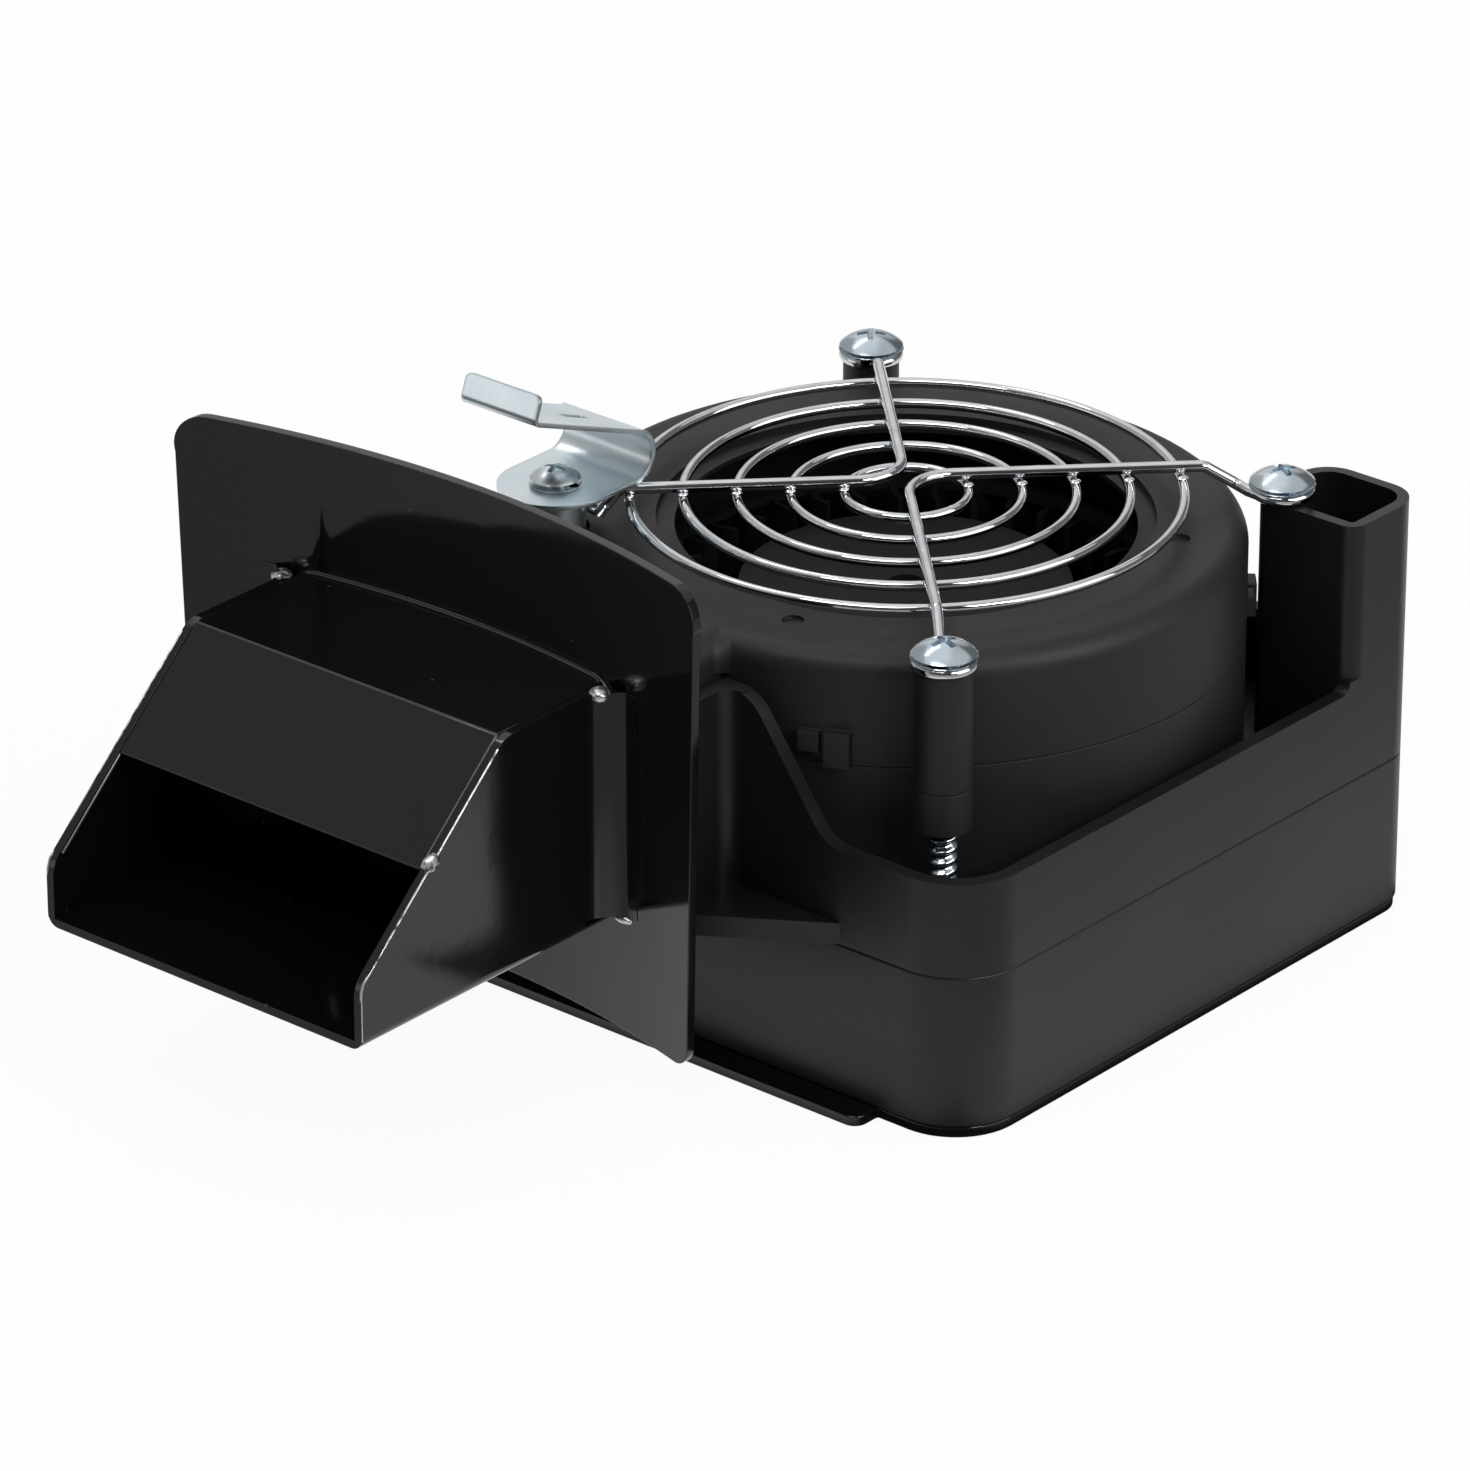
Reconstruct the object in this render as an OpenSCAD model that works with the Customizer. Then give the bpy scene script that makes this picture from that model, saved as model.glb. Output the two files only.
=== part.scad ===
// Grill ignition fan: a radial blower in a plastic box, with a steel outlet duct and a spring clip.
// Millimetres. The fan axis is the Z axis and the underside of the base plate lies at Z = 0.
// The duct points to -Y, the cable chute stands at the rear right.

/* [Blower] */
// Outside radius of the round blower body
body_r = 45.8; // [44:0.2:48]
// Height of the blower body above the deck
body_h = 34; // [32:0.5:38]
// Height of the lower half of the blower body
base_h = 18.4; // [16:0.2:20]
// Radius of the rounded shoulder of the cover
shoulder_r = 3.2; // [2.6:0.1:4]
// Widening of the scroll towards the nozzle
scroll = 1.6; // [1:0.1:1.7]
// Wall thickness of the blower halves
shell_t = 1.7; // [1.4:0.1:2.2]
// Width of the flat top beside the air inlet
inlet_in = 14.8; // [14:0.2:16]
// Outside width of the outlet nozzle
outlet_w = 53.7; // [50:0.1:55]
// Radius of the fillet between body and nozzle
outlet_fillet = 3; // [2:0.5:4]
// Distance of the lug screws outside the body
lug_out = 4.76; // [4.6:0.02:5]
// Outside diameter of the screw lugs
lug_d = 7.8; // [7.2:0.1:8.4]
// Free height under the lugs
lug_gap = 9.5; // [6:0.5:11]

/* [Fan wheel] */
// Distance of the blade ring inside the body
wheel_in = 9.8; // [9.4:0.2:11]
// Radial depth of the blades
blade_depth = 7; // [5:0.5:8]
// Thickness of one blade
blade_t = 0.8; // [0.6:0.1:1]
// Number of blades
blade_n = 36; // [24:1:40]
// Outside radius of the hub
hub_r = 22.5; // [22:0.1:24]
// Height of the hub top above the blower floor
hub_h = 22; // [21.5:0.1:24]

/* [Motor] */
// Shaft diameter
shaft_d = 3; // [2.5:0.1:3.2]
// Outside diameter of the ball bearings
bearing_d = 8; // [7.6:0.1:8.4]
// Height of one ball bearing
bearing_h = 4; // [3:0.1:4.2]
// Outside diameter of the bearing tube
tube_d = 10; // [9.6:0.1:11]
// Number of stator poles
pole_n = 6; // [4:2:8]

/* [Housing] */
// Wall thickness of the box
wall_t = 2.1; // [1.8:0.1:2.6]
// Free space beside the blower
side_gap = 2.1; // [2:0.1:4]
// Free space behind the blower
rear_gap = 0.6; // [0.4:0.1:3]
// Radius of the front vertical corners
corner_r = 10; // [8:0.5:11]
// Radius of the rear vertical corners
rear_r = 5; // [3:0.5:6]
// Height of the lower housing
lower_h = 22; // [20:0.5:26]
// Thickness of the deck that carries the blower
deck_t = 2.5; // [2:0.1:3]
// Height of the rim above the deck
rim_h = 10.9; // [8:0.1:12]
// Height of the gable and the collar above the deck
gable_h = 28.6; // [24:0.2:30]
// Flat length of the gable beside the collar
gable_l = 3.8; // [3:0.2:6]
// Sloping length of the gable
gable_run = 12.8; // [10:0.2:16]
// Distance from the chute's left face to its screw
chute_side = 2.85; // [2.8:0.05:4]
// Distance from the chute's front face to its screw
chute_front = 2.65; // [2.6:0.05:4]
// Diameter of the posts for the base screws
post_d = 7; // [6.4:0.1:7.6]

/* [Base plate] */
// Thickness of the base plate
base_t = 1.5; // [1.2:0.1:2]
// Width of the front lip of the base plate
lip_w = 70; // [50:0.5:72]
// Projection of the front lip
lip_out = 4; // [3:0.1:5]

/* [Duct] */
// Sheet thickness of the flange plate
plate_t = 1.5; // [1.2:0.1:2]
// Radius of the hollow face of the flange plate
plate_r = 148.5; // [140:0.5:170]
// Length of the collar from the box to the hollow face of the flange plate
collar_l = 16; // [15:0.1:18]
// Height of the flange plate
plate_h = 68; // [60:0.5:72]
// Half width of the flange plate at its top
plate_top = 45.2; // [43:0.2:48]
// Half width of the flange plate at its foot
plate_foot = 43.4; // [41:0.2:44]
// Height of the foot of the flange plate above the ground
plate_z = 11.5; // [9:0.5:14]
// Corner radius of the flange plate
plate_corner = 4.5; // [3:0.5:6]
// Radius of the lower corners of the flange plate
foot_corner = 3; // [2:0.5:4]
// Sheet thickness of the duct
duct_t = 1.2; // [1:0.1:1.5]
// Outside width of the duct
duct_w = 55.2; // [54:0.2:57]
// Outside height of the duct
duct_h = 34; // [33:0.2:36]
// Length of the duct before the flange plate
duct_l = 50.8; // [45:0.1:56]
// Height of the upright front edge of the duct sides
mouth_h = 9; // [8:0.2:12]
// Radius at the ends of the slope on the duct sides
side_r = 4.5; // [2:0.5:5]
// Length of the sloping front of the duct
slope_l = 27.6; // [22:0.2:30]
// Share of the slope that stays open
slope_open = 0.46; // [0.3:0.02:0.6]
// Inside radius of the side flange bends
flange_bend = 3.5; // [2.5:0.1:4]
// Width of the side flanges past the bend
flange_w = 1.5; // [1:0.1:11]
// Diameter of the rivets
rivet_d = 3; // [2.6:0.1:3.2]

/* [Guard] */
// Distance of the outer guard ring inside the body
ring_in = 8.7; // [8:0.1:10]
// Step between the guard rings as a share of the outer ring
ring_share = 0.194; // [0.18:0.002:0.2]
// Number of guard rings
ring_n = 5; // [4:1:5]
// Wire diameter of the rings
ring_d = 1.4; // [1.2:0.1:1.6]
// Wire diameter of the spokes
spoke_d = 1.6; // [1.4:0.1:1.8]
// Drop from the spokes to their eyes
eye_drop = 2.85; // [2.6:0.05:2.9]
// Bend radius of the spokes at the middle
spoke_bend = 6.5; // [5:0.5:8]
// Thread diameter of the guard screws
screw_d = 4.2; // [3.8:0.1:4.4]
// Head diameter of the guard screws
screw_head = 9; // [8.6:0.1:10]
// Length of the guard screws under the head
screw_l = 42; // [40:0.5:43]

/* [Spring clip] */
// Distance of the clip screw outside the body
clip_out = 1.15; // [1:0.05:1.6]
// Diameter of the clip screw
clip_screw_d = 3.5; // [3:0.1:3.8]
// Length of the clip screw under the head
clip_screw_l = 14; // [13:0.5:14.5]
// Outside diameter of the spacer
spacer_d = 8.2; // [7.6:0.1:8.6]
// Length of the spacer
spacer_l = 9.6; // [9.6:0.1:10]
// Thickness of the spring strip
strip_t = 0.7; // [0.6:0.1:1]
// Width of the spring strip
strip_w = 15.6; // [14:0.2:16]
// Width of the arm of the spring strip
arm_w = 13; // [12:0.2:14]
// Distance of the bend centre behind the clip screw
bend_y = 7.6; // [7:0.1:9]
// Inside radius of the bend
bend_r = 3.2; // [3:0.1:4]
// Rise of the arm in degrees
arm_rise = 21; // [16:1:26]
// Length of the arm
arm_l = 23.2; // [20:0.2:26]
// Height of the end tab
tab_h = 4.2; // [3.5:0.1:6]

/* [Fits] */
// Play between glued, pressed and welded pieces
fit = 0.05; // [0.03:0.01:0.08]
// Play round screws in clearance holes
screw_play = 0.25; // [0.2:0.05:0.4]
// Play between joined housings
seam_play = 0.3; // [0.2:0.05:0.5]
// Radial running play of the shaft in the bearings
run_play = 0.03; // [0.02:0.01:0.06]

/* [Hidden] */
$fn = 96;
far = 200;
// Levels
seam_z = base_t + lower_h;
deck_z = seam_z + deck_t;
rim_z = deck_z + rim_h;
gable_z = deck_z + gable_h;
parting_z = deck_z + base_h;
top_z = deck_z + body_h;
seat_z = top_z + 0.9;
recess_z = top_z - 4;
chute_z = seat_z;
post_top = deck_z + 3;
lug_z = post_top + lug_gap;
floor_t = 2;
floor_z = deck_z + floor_t;
// Box outline
half_w = body_r + side_gap + wall_t;
front_y = body_r + wall_t;
rear_y = body_r + rear_gap + wall_t;
plate_y = front_y + collar_l;
mouth_y = plate_y + duct_l;
// Radii inside the body
inlet_r = body_r - inlet_in;
wheel_r = body_r - wheel_in;
ring_r = body_r - ring_in;
ring_step = ring_r * ring_share;
// Nozzle and collar
noz_x0 = -body_r - scroll;
noz_x1 = noz_x0 + outlet_w;
collar_gap = 1.1;
collar_in = noz_x1 + collar_gap;
collar_x = collar_in + wall_t;
collar_r = 2.5;
ledge_run = 19.2;
ledge_out = 12.4;
ledge_t = 3;
// Duct
duct_shift = 1.15;
duct_mid = noz_x0 + outlet_w / 2 - duct_shift;
duct_z = deck_z + 0.5;
fold_r = 1.8;
duct_top = duct_z + duct_h;
duct_x1 = duct_mid + duct_w / 2;
plate_axis_y = -plate_y - plate_r;
slope_dz = duct_h - mouth_h;
hood_share = 1 - slope_open;
tab_half = 20;
tab_y = -front_y - 1.2;
rivet_y = -front_y - 7;
rivet_x = 13;
// Screw places
sq = (body_r + lug_out) / sqrt(2);
guard_places = [[sq, -sq], [sq, sq], [-sq, sq]];
lug_places = [[sq, -sq], [-sq, sq]];
chute_t = 1.6;
chute_x = sq - chute_side;
chute_y = sq - chute_front;
post_x = half_w - wall_t - post_d / 2 - 2.4;
post_y0 = -front_y + wall_t + post_d / 2 + 2.3;
post_y1 = rear_y - wall_t - post_d / 2 - 1;
post_x2 = chute_x - post_d / 2 - 3;
posts = [[post_x, post_y0], [-post_x, post_y0], [-post_x, post_y1], [post_x2, post_y1]];
base_screw_r = 1.5;
base_head_r = 3.1;
base_screw_l = 13;
boss_d = screw_d + 4.2;
boss_z = seam_z - 5.5;
// Guard levels
eye_d = spoke_d + 0.1;
eye_z = seat_z + fit + eye_d / 2;
spoke_z = eye_z + eye_drop;
ring_z = spoke_z - spoke_d / 2 - ring_d / 2 - fit;
head_z = eye_z + eye_d / 2 + fit;
head_h = 2.3;
eye_r = screw_d / 2 + eye_d / 2 + 0.75;
hook_r = spacer_d / 2 + eye_d / 2 + 0.1;
dip_angle = 32;
hook_dip = 50;
dip_end = 2;
hook_end = 1.2;
knee_swell = 0.18;
// Clip levels
clip_x = (body_r + clip_out) / sqrt(2);
clip_y = -clip_x;
recess_r = spacer_d / 2 + 0.5;
tongue_z = recess_z + spacer_l;
bend_z = tongue_z + strip_t + bend_r;
bend_cy = clip_y + bend_y;
arm_x = -clip_x + strip_w / 2 - arm_w / 2;
split_at = 80;
split_gap = 13;
clip_boss_d = clip_screw_d + 3.5;
clip_tip = tongue_z + strip_t - clip_screw_l;
// Motor levels
pad_h = 3;
pad_r = tube_d / 2 + 2;
low_bearing_z = floor_z + 2.5;
top_bearing_z = low_bearing_z + bearing_h + 6.5;
tube_top = top_bearing_z + bearing_h + 1;
hub_z = floor_z + hub_h;
hub_t = 1.3;
wheel_z = floor_z + 2;
disc_t = 1.2;
blade_top = hub_z;
cup_r = hub_r - hub_t - 2 * fit;
cup_t = 0.9;
cup_top = hub_z - hub_t - fit;
cup_low = floor_z + 4;
magnet_r = cup_r - cup_t - fit;
magnet_t = 1.4;
air_gap = 0.7;
core_r = magnet_r - magnet_t - air_gap;
core_in = tube_d / 2 + fit;
core_z0 = floor_z + 6;
core_h = 8;
core_z1 = core_z0 + core_h;
core_ring = 2.2;
shoe_t = 1.6;
coil_t = 1.2;
coil_gap = 0.3;
board_z = floor_z + pad_h;
board_t = 1.2;
shaft_z0 = floor_z + 0.5;
groove_z = shaft_z0 + 0.5;
clip_ring_t = 0.5;

// Plan of a rectangle with one radius at the front corners and another at the rear corners.
module round_plan(x0, x1, y0, y1, rf, rr) {
    polygon([[x0 + rf, y0], [x1 - rf, y0], [x1, y0 + rf], [x1, y1 - rr],
        [x1 - rr, y1], [x0 + rr, y1], [x0, y1 - rr], [x0, y0 + rf]]);
    for (x = [x0 + rf, x1 - rf]) translate([x, y0 + rf]) circle(rf);
    for (x = [x0 + rr, x1 - rr]) translate([x, y1 - rr]) circle(rr);
}

// Plan of the box, moved inward by a distance.
module box_plan(inset) {
    round_plan(-half_w + inset, half_w - inset, -front_y + inset, rear_y - inset,
        corner_r - inset, max(rear_r - inset, 0.5));
}

// Block between two corners.
module block(a, b) {
    translate(a) cube(b - a);
}

// Upright drum on the axis of the curved flange plate.
module plate_drum(r, z0, z1) {
    translate([duct_mid, plate_axis_y, z0]) cylinder(r = r, h = z1 - z0, $fn = 360);
}

// Sloping end of a raised wall: flat length, sloping run, rounded at the top and at the foot.
module gable_shape(flat, run, low, high, r) {
    a = atan2(high - low, run);
    t = r * tan(a / 2);
    difference() {
        union() {
            polygon([[0, low - 5], [0, high], [flat - t, high],
                [flat + t * cos(a), high - t * sin(a)],
                [flat + run - t * cos(a), low + t * sin(a)],
                [flat + run + t, low], [flat + run + t, low - 5]]);
            translate([flat - t, high - r]) circle(r);
        }
        translate([flat + run + t, low + r]) circle(r);
    }
}

// Ring shape round the Z axis.
module tube(r_out, r_in, z0, z1) {
    translate([0, 0, z0]) difference() {
        cylinder(r = r_out, h = z1 - z0);
        translate([0, 0, -1]) cylinder(r = r_in, h = z1 - z0 + 2);
    }
}

// Domed head with a cross recess, standing on Z = 0.
module cross_head(d, h) {
    ball = (d * d / 4 + h * h) / (2 * h);
    difference() {
        intersection() {
            translate([0, 0, h - ball]) sphere(ball);
            cylinder(d = d, h = h + 1);
        }
        for (turn = [0, 90]) rotate(turn) translate([-d * 0.27, -d * 0.055, h * 0.45])
            cube([d * 0.54, d * 0.11, h]);
    }
}

// Curved sheet with the duct window, a straight tapered outline and a riveting tab below the collar.
module flange_plate() {
    color("#161616") {
        difference() {
            intersection() {
                difference() {
                    plate_drum(plate_r + plate_t, 0, far);
                    plate_drum(plate_r, -1, far + 1);
                }
                translate([duct_mid, 0, plate_z]) rotate([90, 0, 0]) linear_extrude(far)
                    plate_outline();
            }
            block([duct_x1 - duct_w + duct_t, -far, duct_z + duct_t],
                [duct_x1 - duct_t, 0, duct_top - duct_t]);
        }
        difference() {
            block([duct_mid - tab_half, -plate_y - 1, seam_z - fit - plate_t],
                [duct_mid + tab_half, tab_y, seam_z - fit]);
            plate_drum(plate_r + plate_t / 2, 0, far);
            for (side = [-1, 1]) translate([duct_mid + side * rivet_x, rivet_y, 0])
                cylinder(d = rivet_d + 2 * fit, h = far);
        }
    }
}

// Outline of the flange plate, seen from the front.
module plate_outline() {
    c = plate_corner;
    lean = (plate_top - plate_foot) / plate_h;
    f = foot_corner;
    foot = plate_foot + lean * f;
    polygon([[-foot + f, 0], [foot - f, 0], [foot, f], [plate_top - lean * c, plate_h - c],
        [plate_top - c, plate_h], [-plate_top + c, plate_h], [-plate_top + lean * c, plate_h - c],
        [-foot, f]]);
    for (side = [-1, 1]) translate([side * (plate_top - c), plate_h - c]) circle(c);
    for (side = [-1, 1]) translate([side * (foot - f), f]) circle(f);
}

// Side view of the duct: an upright mouth edge, a slope and a level top, rounded into each other.
module duct_side() {
    rise = atan2(slope_dz, slope_l);
    along = [cos(rise), sin(rise)];
    low = [-mouth_y, duct_z + mouth_h];
    high = [-mouth_y + slope_l, duct_top];
    low_cut = side_r * tan((90 - rise) / 2);
    high_cut = side_r * tan(rise / 2);
    polygon([[-mouth_y, duct_z], low - [0, low_cut], low + low_cut * along, high - high_cut * along,
        high + [high_cut, 0], [-plate_y + 10, duct_top], [-plate_y + 10, duct_z]]);
    translate(low + [side_r, -low_cut]) circle(side_r);
    translate(high + [high_cut, -side_r]) circle(side_r);
}

// Bottom and two sides from one sheet, the sides turned outward onto the flange plate.
module duct_channel() {
    rb = flange_bend + duct_t;
    bend_x = duct_x1 + flange_bend;
    bend_yc = plate_axis_y + sqrt(pow(plate_r - fit, 2) - pow(bend_x - duct_mid, 2)) - rb;
    color("#141414") difference() {
        union() {
            block([duct_x1 - duct_w, -mouth_y, duct_z], [duct_x1, -plate_y + 5, duct_z + duct_t]);
            for (side = [0, 1])
            translate([duct_mid, 0, 0]) mirror([side, 0, 0]) translate([-duct_mid, 0, 0]) {
                intersection() {
                    rotate([90, 0, 90]) linear_extrude(far) duct_side();
                    block([duct_x1 - duct_t, -mouth_y - 1, 0], [duct_x1, bend_yc, far]);
                }
                translate([bend_x, bend_yc, duct_z + 2]) intersection() {
                    tube(rb, flange_bend, 0, duct_h - 2);
                    block([-rb - 1, 0, -1], [0, rb + 1, duct_h]);
                }
                intersection() {
                    difference() {
                        plate_drum(plate_r - fit, duct_z + 2, duct_top);
                        plate_drum(plate_r - fit - duct_t, 0, far);
                    }
                    block([bend_x - 0.4, -far, 0], [bend_x + flange_w, 0, far]);
                }
            }
        }
        difference() {
            block([duct_x1 - duct_w - 1, -plate_y - slope_l, duct_z - 1],
                [duct_x1 + 1, 0, duct_z + duct_t + 0.5]);
            plate_drum(plate_r - fit, 0, far);
        }
        // Round folds along the bottom edges
        for (side = [0, 1]) translate([duct_mid, 0, 0]) mirror([side, 0, 0])
            translate([duct_w / 2 - fold_r, 0, duct_z + fold_r]) rotate([90, 0, 0]) linear_extrude(far)
                difference() {
                    translate([0, -fold_r - 1]) square([fold_r + 1, fold_r + 1]);
                    circle(fold_r);
                }
    }
}

// Top of the duct with its sloping hood, bent from one sheet and set between the sides.
module duct_cover() {
    rise = atan2(slope_dz, slope_l);
    bend = [-mouth_y + slope_l, duct_top];
    lower = bend - hood_share * [slope_l, slope_dz];
    rear = -plate_y + 5;
    color("#141414") intersection() {
        translate([duct_x1 - duct_w + duct_t + fit, 0, 0]) rotate([90, 0, 90])
            linear_extrude(duct_w - 2 * duct_t - 2 * fit)
                polygon([[rear, duct_top], bend, lower, lower + duct_t * [sin(rise), -cos(rise)],
                    bend + duct_t * [tan(rise / 2), -1], [rear, duct_top - duct_t]]);
        plate_drum(plate_r - fit, 0, far);
    }
}

// Rivets through the tab of the flange plate and the collar floor.
module collar_rivets() {
    color("#8d8f92") for (side = [-1, 1]) translate([duct_mid + side * rivet_x, rivet_y, 0]) {
        translate([0, 0, seam_z - fit - plate_t - 1]) cylinder(d = rivet_d, h = plate_t + deck_t + 0.9);
        translate([0, 0, seam_z - 2 * fit - plate_t]) mirror([0, 0, 1]) intersection() {
            translate([0, 0, 1 - rivet_d * 1.1]) sphere(rivet_d * 1.1);
            cylinder(d = rivet_d * 2, h = 2);
        }
        translate([0, 0, deck_z - 1.1]) cylinder(d = rivet_d + 2, h = 0.9);
    }
}

// Steel bottom with a rolled front lip and countersunk holes.
module base_plate() {
    color("#1a1a1b") difference() {
        linear_extrude(base_t) union() {
            box_plan(0.3);
            round_plan(-lip_w / 2, lip_w / 2, -front_y - lip_out, 0, 2, 2);
        }
        for (p = posts) translate([p[0], p[1], 0]) {
            cylinder(r1 = base_head_r + fit, r2 = base_screw_r + fit, h = base_t);
            translate([0, 0, -1]) cylinder(r = base_screw_r + fit, h = far);
        }
    }
}

// Countersunk screws that hold the base plate and the lower housing to the deck posts.
module base_screws() {
    color("#3a3b3d") for (p = posts) translate([p[0], p[1], 0]) difference() {
        union() {
            cylinder(r1 = base_head_r, r2 = base_screw_r, h = base_t);
            cylinder(r = base_screw_r, h = base_screw_l);
        }
        for (turn = [0, 90]) rotate(turn) translate([-1.6, -0.35, -1]) cube([3.2, 0.7, 1.8]);
    }
}

// Frame between the base plate and the upper housing.
module lower_housing() {
    color("#222223") translate([0, 0, base_t]) difference() {
        linear_extrude(lower_h) box_plan(0);
        translate([0, 0, -1]) linear_extrude(lower_h + 2) box_plan(wall_t);
    }
}

// Tray with the deck, the rim, the gables, the collar round the nozzle and the cable chute.
module upper_housing() {
    inner = half_w - wall_t;
    foot_r = 1.5;
    color("#232324") difference() {
        union() {
            translate([0, 0, seam_z]) linear_extrude(rim_z - seam_z) box_plan(0);
            // Locating rib inside the lower housing
            translate([0, 0, seam_z - 2]) difference() {
                linear_extrude(3) box_plan(wall_t + seam_play);
                translate([0, 0, -1]) linear_extrude(3) box_plan(wall_t + seam_play + 1.2);
            }
            // Collar, gables and the ledge beside the collar
            block([-half_w, -plate_y - 20, seam_z], [collar_x, -front_y + wall_t, gable_z]);
            block([-half_w, -front_y, seam_z], [-half_w + wall_t, -front_y + corner_r, rim_z]);
            translate([collar_in, -front_y + wall_t, 0]) rotate([90, 0, 0]) linear_extrude(wall_t)
                gable_shape(gable_l + wall_t, gable_run, rim_z, gable_z, 6);
            translate([-half_w, -front_y, 0]) rotate([90, 0, 90]) linear_extrude(wall_t)
                gable_shape(gable_l + wall_t + 4, gable_run, rim_z, gable_z, 6);
            translate([0, 0, seam_z]) linear_extrude(ledge_t)
                polygon([[collar_x - 1, -front_y + 1], [collar_x + ledge_run + 1.5, -front_y + 1],
                    [collar_x + ledge_run, -front_y], [collar_x, -front_y - ledge_out],
                    [collar_x - 1, -front_y - ledge_out]]);
            translate([0, 0, seam_z]) linear_extrude(gable_z - seam_z) difference() {
                polygon([[collar_x - 1, -front_y + 1], [collar_x + collar_r, -front_y + 1],
                    [collar_x + collar_r, -front_y], [collar_x, -front_y - collar_r],
                    [collar_x - 1, -front_y - collar_r]]);
                translate([collar_x + collar_r, -front_y - collar_r]) circle(collar_r);
            }
            // Cable chute with its foot fillet on the rim
            translate([0, 0, seam_z]) linear_extrude(chute_z - seam_z)
                round_plan(chute_x, half_w, chute_y, rear_y, 2.5, rear_r);
            difference() {
                block([inner, chute_y - foot_r, rim_z - 1], [half_w, chute_y + 3, rim_z + foot_r]);
                translate([inner - 1, chute_y - foot_r, rim_z + foot_r]) rotate([0, 90, 0])
                    cylinder(r = foot_r, h = wall_t + 2);
            }
            // Posts below the deck
            for (p = posts) translate([p[0], p[1], base_t]) cylinder(d = post_d, h = lower_h + 1);
            for (p = guard_places) translate([p[0], p[1], boss_z])
                cylinder(d = boss_d, h = seam_z - boss_z + 1);
        }
        // Inside of the tray
        difference() {
            translate([0, 0, deck_z]) linear_extrude(far) box_plan(wall_t);
            translate([0, 0, deck_z - 1]) linear_extrude(far)
                round_plan(chute_x, half_w, chute_y, rear_y, 2.5, rear_r);
            for (p = lug_places) translate([p[0], p[1], 0]) cylinder(d = boss_d, h = post_top);
        }
        // Room for the scroll beside the rear left post
        translate([-scroll, 0, deck_z]) cylinder(r = body_r + seam_play, h = far);
        // Inside of the collar and its end on the flange plate
        block([-half_w + wall_t, -mouth_y, deck_z], [collar_in, -front_y + corner_r, far]);
        plate_drum(plate_r + plate_t + fit, 0, far);
        for (side = [-1, 1]) translate([duct_mid + side * rivet_x, rivet_y, 0]) {
            cylinder(d = rivet_d + 2 * fit, h = far);
            translate([0, 0, deck_z - 1.1 - fit]) cylinder(d = rivet_d + 2 + 2 * fit, h = 5);
        }
        // Inside of the chute, open through the deck, with the screw boss left in its corner
        difference() {
            translate([0, 0, boss_z]) linear_extrude(far)
                round_plan(chute_x + chute_t, half_w - chute_t, chute_y + chute_t, rear_y - chute_t,
                    0.6, rear_r - chute_t);
            translate([sq, sq, 0]) cylinder(d = boss_d, h = seat_z);
        }
        // Screw holes
        for (p = posts) translate([p[0], p[1], 0]) cylinder(r = base_screw_r + fit, h = base_screw_l + 1);
        for (p = guard_places) translate([p[0], p[1], 0]) cylinder(d = screw_d + 2 * fit, h = far);
    }
}

// Side view of the blower body from its axis to the rounded shoulder.
module body_shape(r, z0, z1, sh) {
    translate([0, z0]) square([r, z1 - z0 - sh]);
    translate([0, z0]) square([r - sh, z1 - z0]);
    translate([r - sh, z1 - sh]) circle(sh);
}

// Front view of the nozzle with rounded upper edges.
module nozzle_shape(x0, x1, z0, z1, sh) {
    translate([x0, z0]) square([x1 - x0, z1 - z0 - sh]);
    translate([x0 + sh, z0]) square([x1 - x0 - 2 * sh, z1 - z0]);
    for (x = [x0 + sh, x1 - sh]) translate([x, z1 - sh]) circle(sh);
}

// Closed form of the blower: round body and nozzle, moved inward by a distance.
module blower_form(inset, z0, z1, sh) {
    r = body_r - inset;
    rotate(-90) rotate_extrude(angle = 180) body_shape(r, z0, z1, sh);
    translate([-scroll, 0, 0]) rotate(90) rotate_extrude(angle = 180) body_shape(r, z0, z1, sh);
    translate([-scroll, 0, 0]) rotate([90, 0, 90]) linear_extrude(scroll) nozzle_shape(-r, r, z0, z1, sh);
    rotate([90, 0, 0]) linear_extrude(plate_y + 20)
        nozzle_shape(noz_x0 + inset, noz_x1 - inset, z0, z1, sh);
}

// Fillet in the corner between the round body and the right nozzle wall, a hair inside both surfaces.
module outlet_corner(z0) {
    hair = 0.1;
    fx = noz_x1 + outlet_fillet;
    fr = body_r + outlet_fillet;
    fy = -sqrt(fr * fr - fx * fx);
    turn = atan2(-fy, -fx);
    ring_mid = outlet_fillet + shoulder_r;
    edge_z = top_z - shoulder_r - 2 * hair;
    translate([fx, fy, 0]) rotate(turn) rotate_extrude(angle = 180 - turn) difference() {
        translate([outlet_fillet + hair, z0]) square([shoulder_r * 1.75, top_z - 3 * hair - z0]);
        difference() {
            translate([outlet_fillet - 1, edge_z]) square([shoulder_r + 1, shoulder_r + 1]);
            translate([ring_mid, edge_z]) circle(shoulder_r - hair);
        }
    }
}

// Screw lugs with their webs between two heights, each web starting a step above its lug.
module lugs(z0, z1) {
    step = 0.6;
    for (p = lug_places) {
        translate([p[0], p[1], z0]) cylinder(d = lug_d, h = z1 - z0);
        rotate(atan2(p[1], p[0])) block([body_r - 1.2, -2, z0 + step], [norm(p) - 1, 2, min(z1, top_z - 3)]);
    }
}

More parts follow.
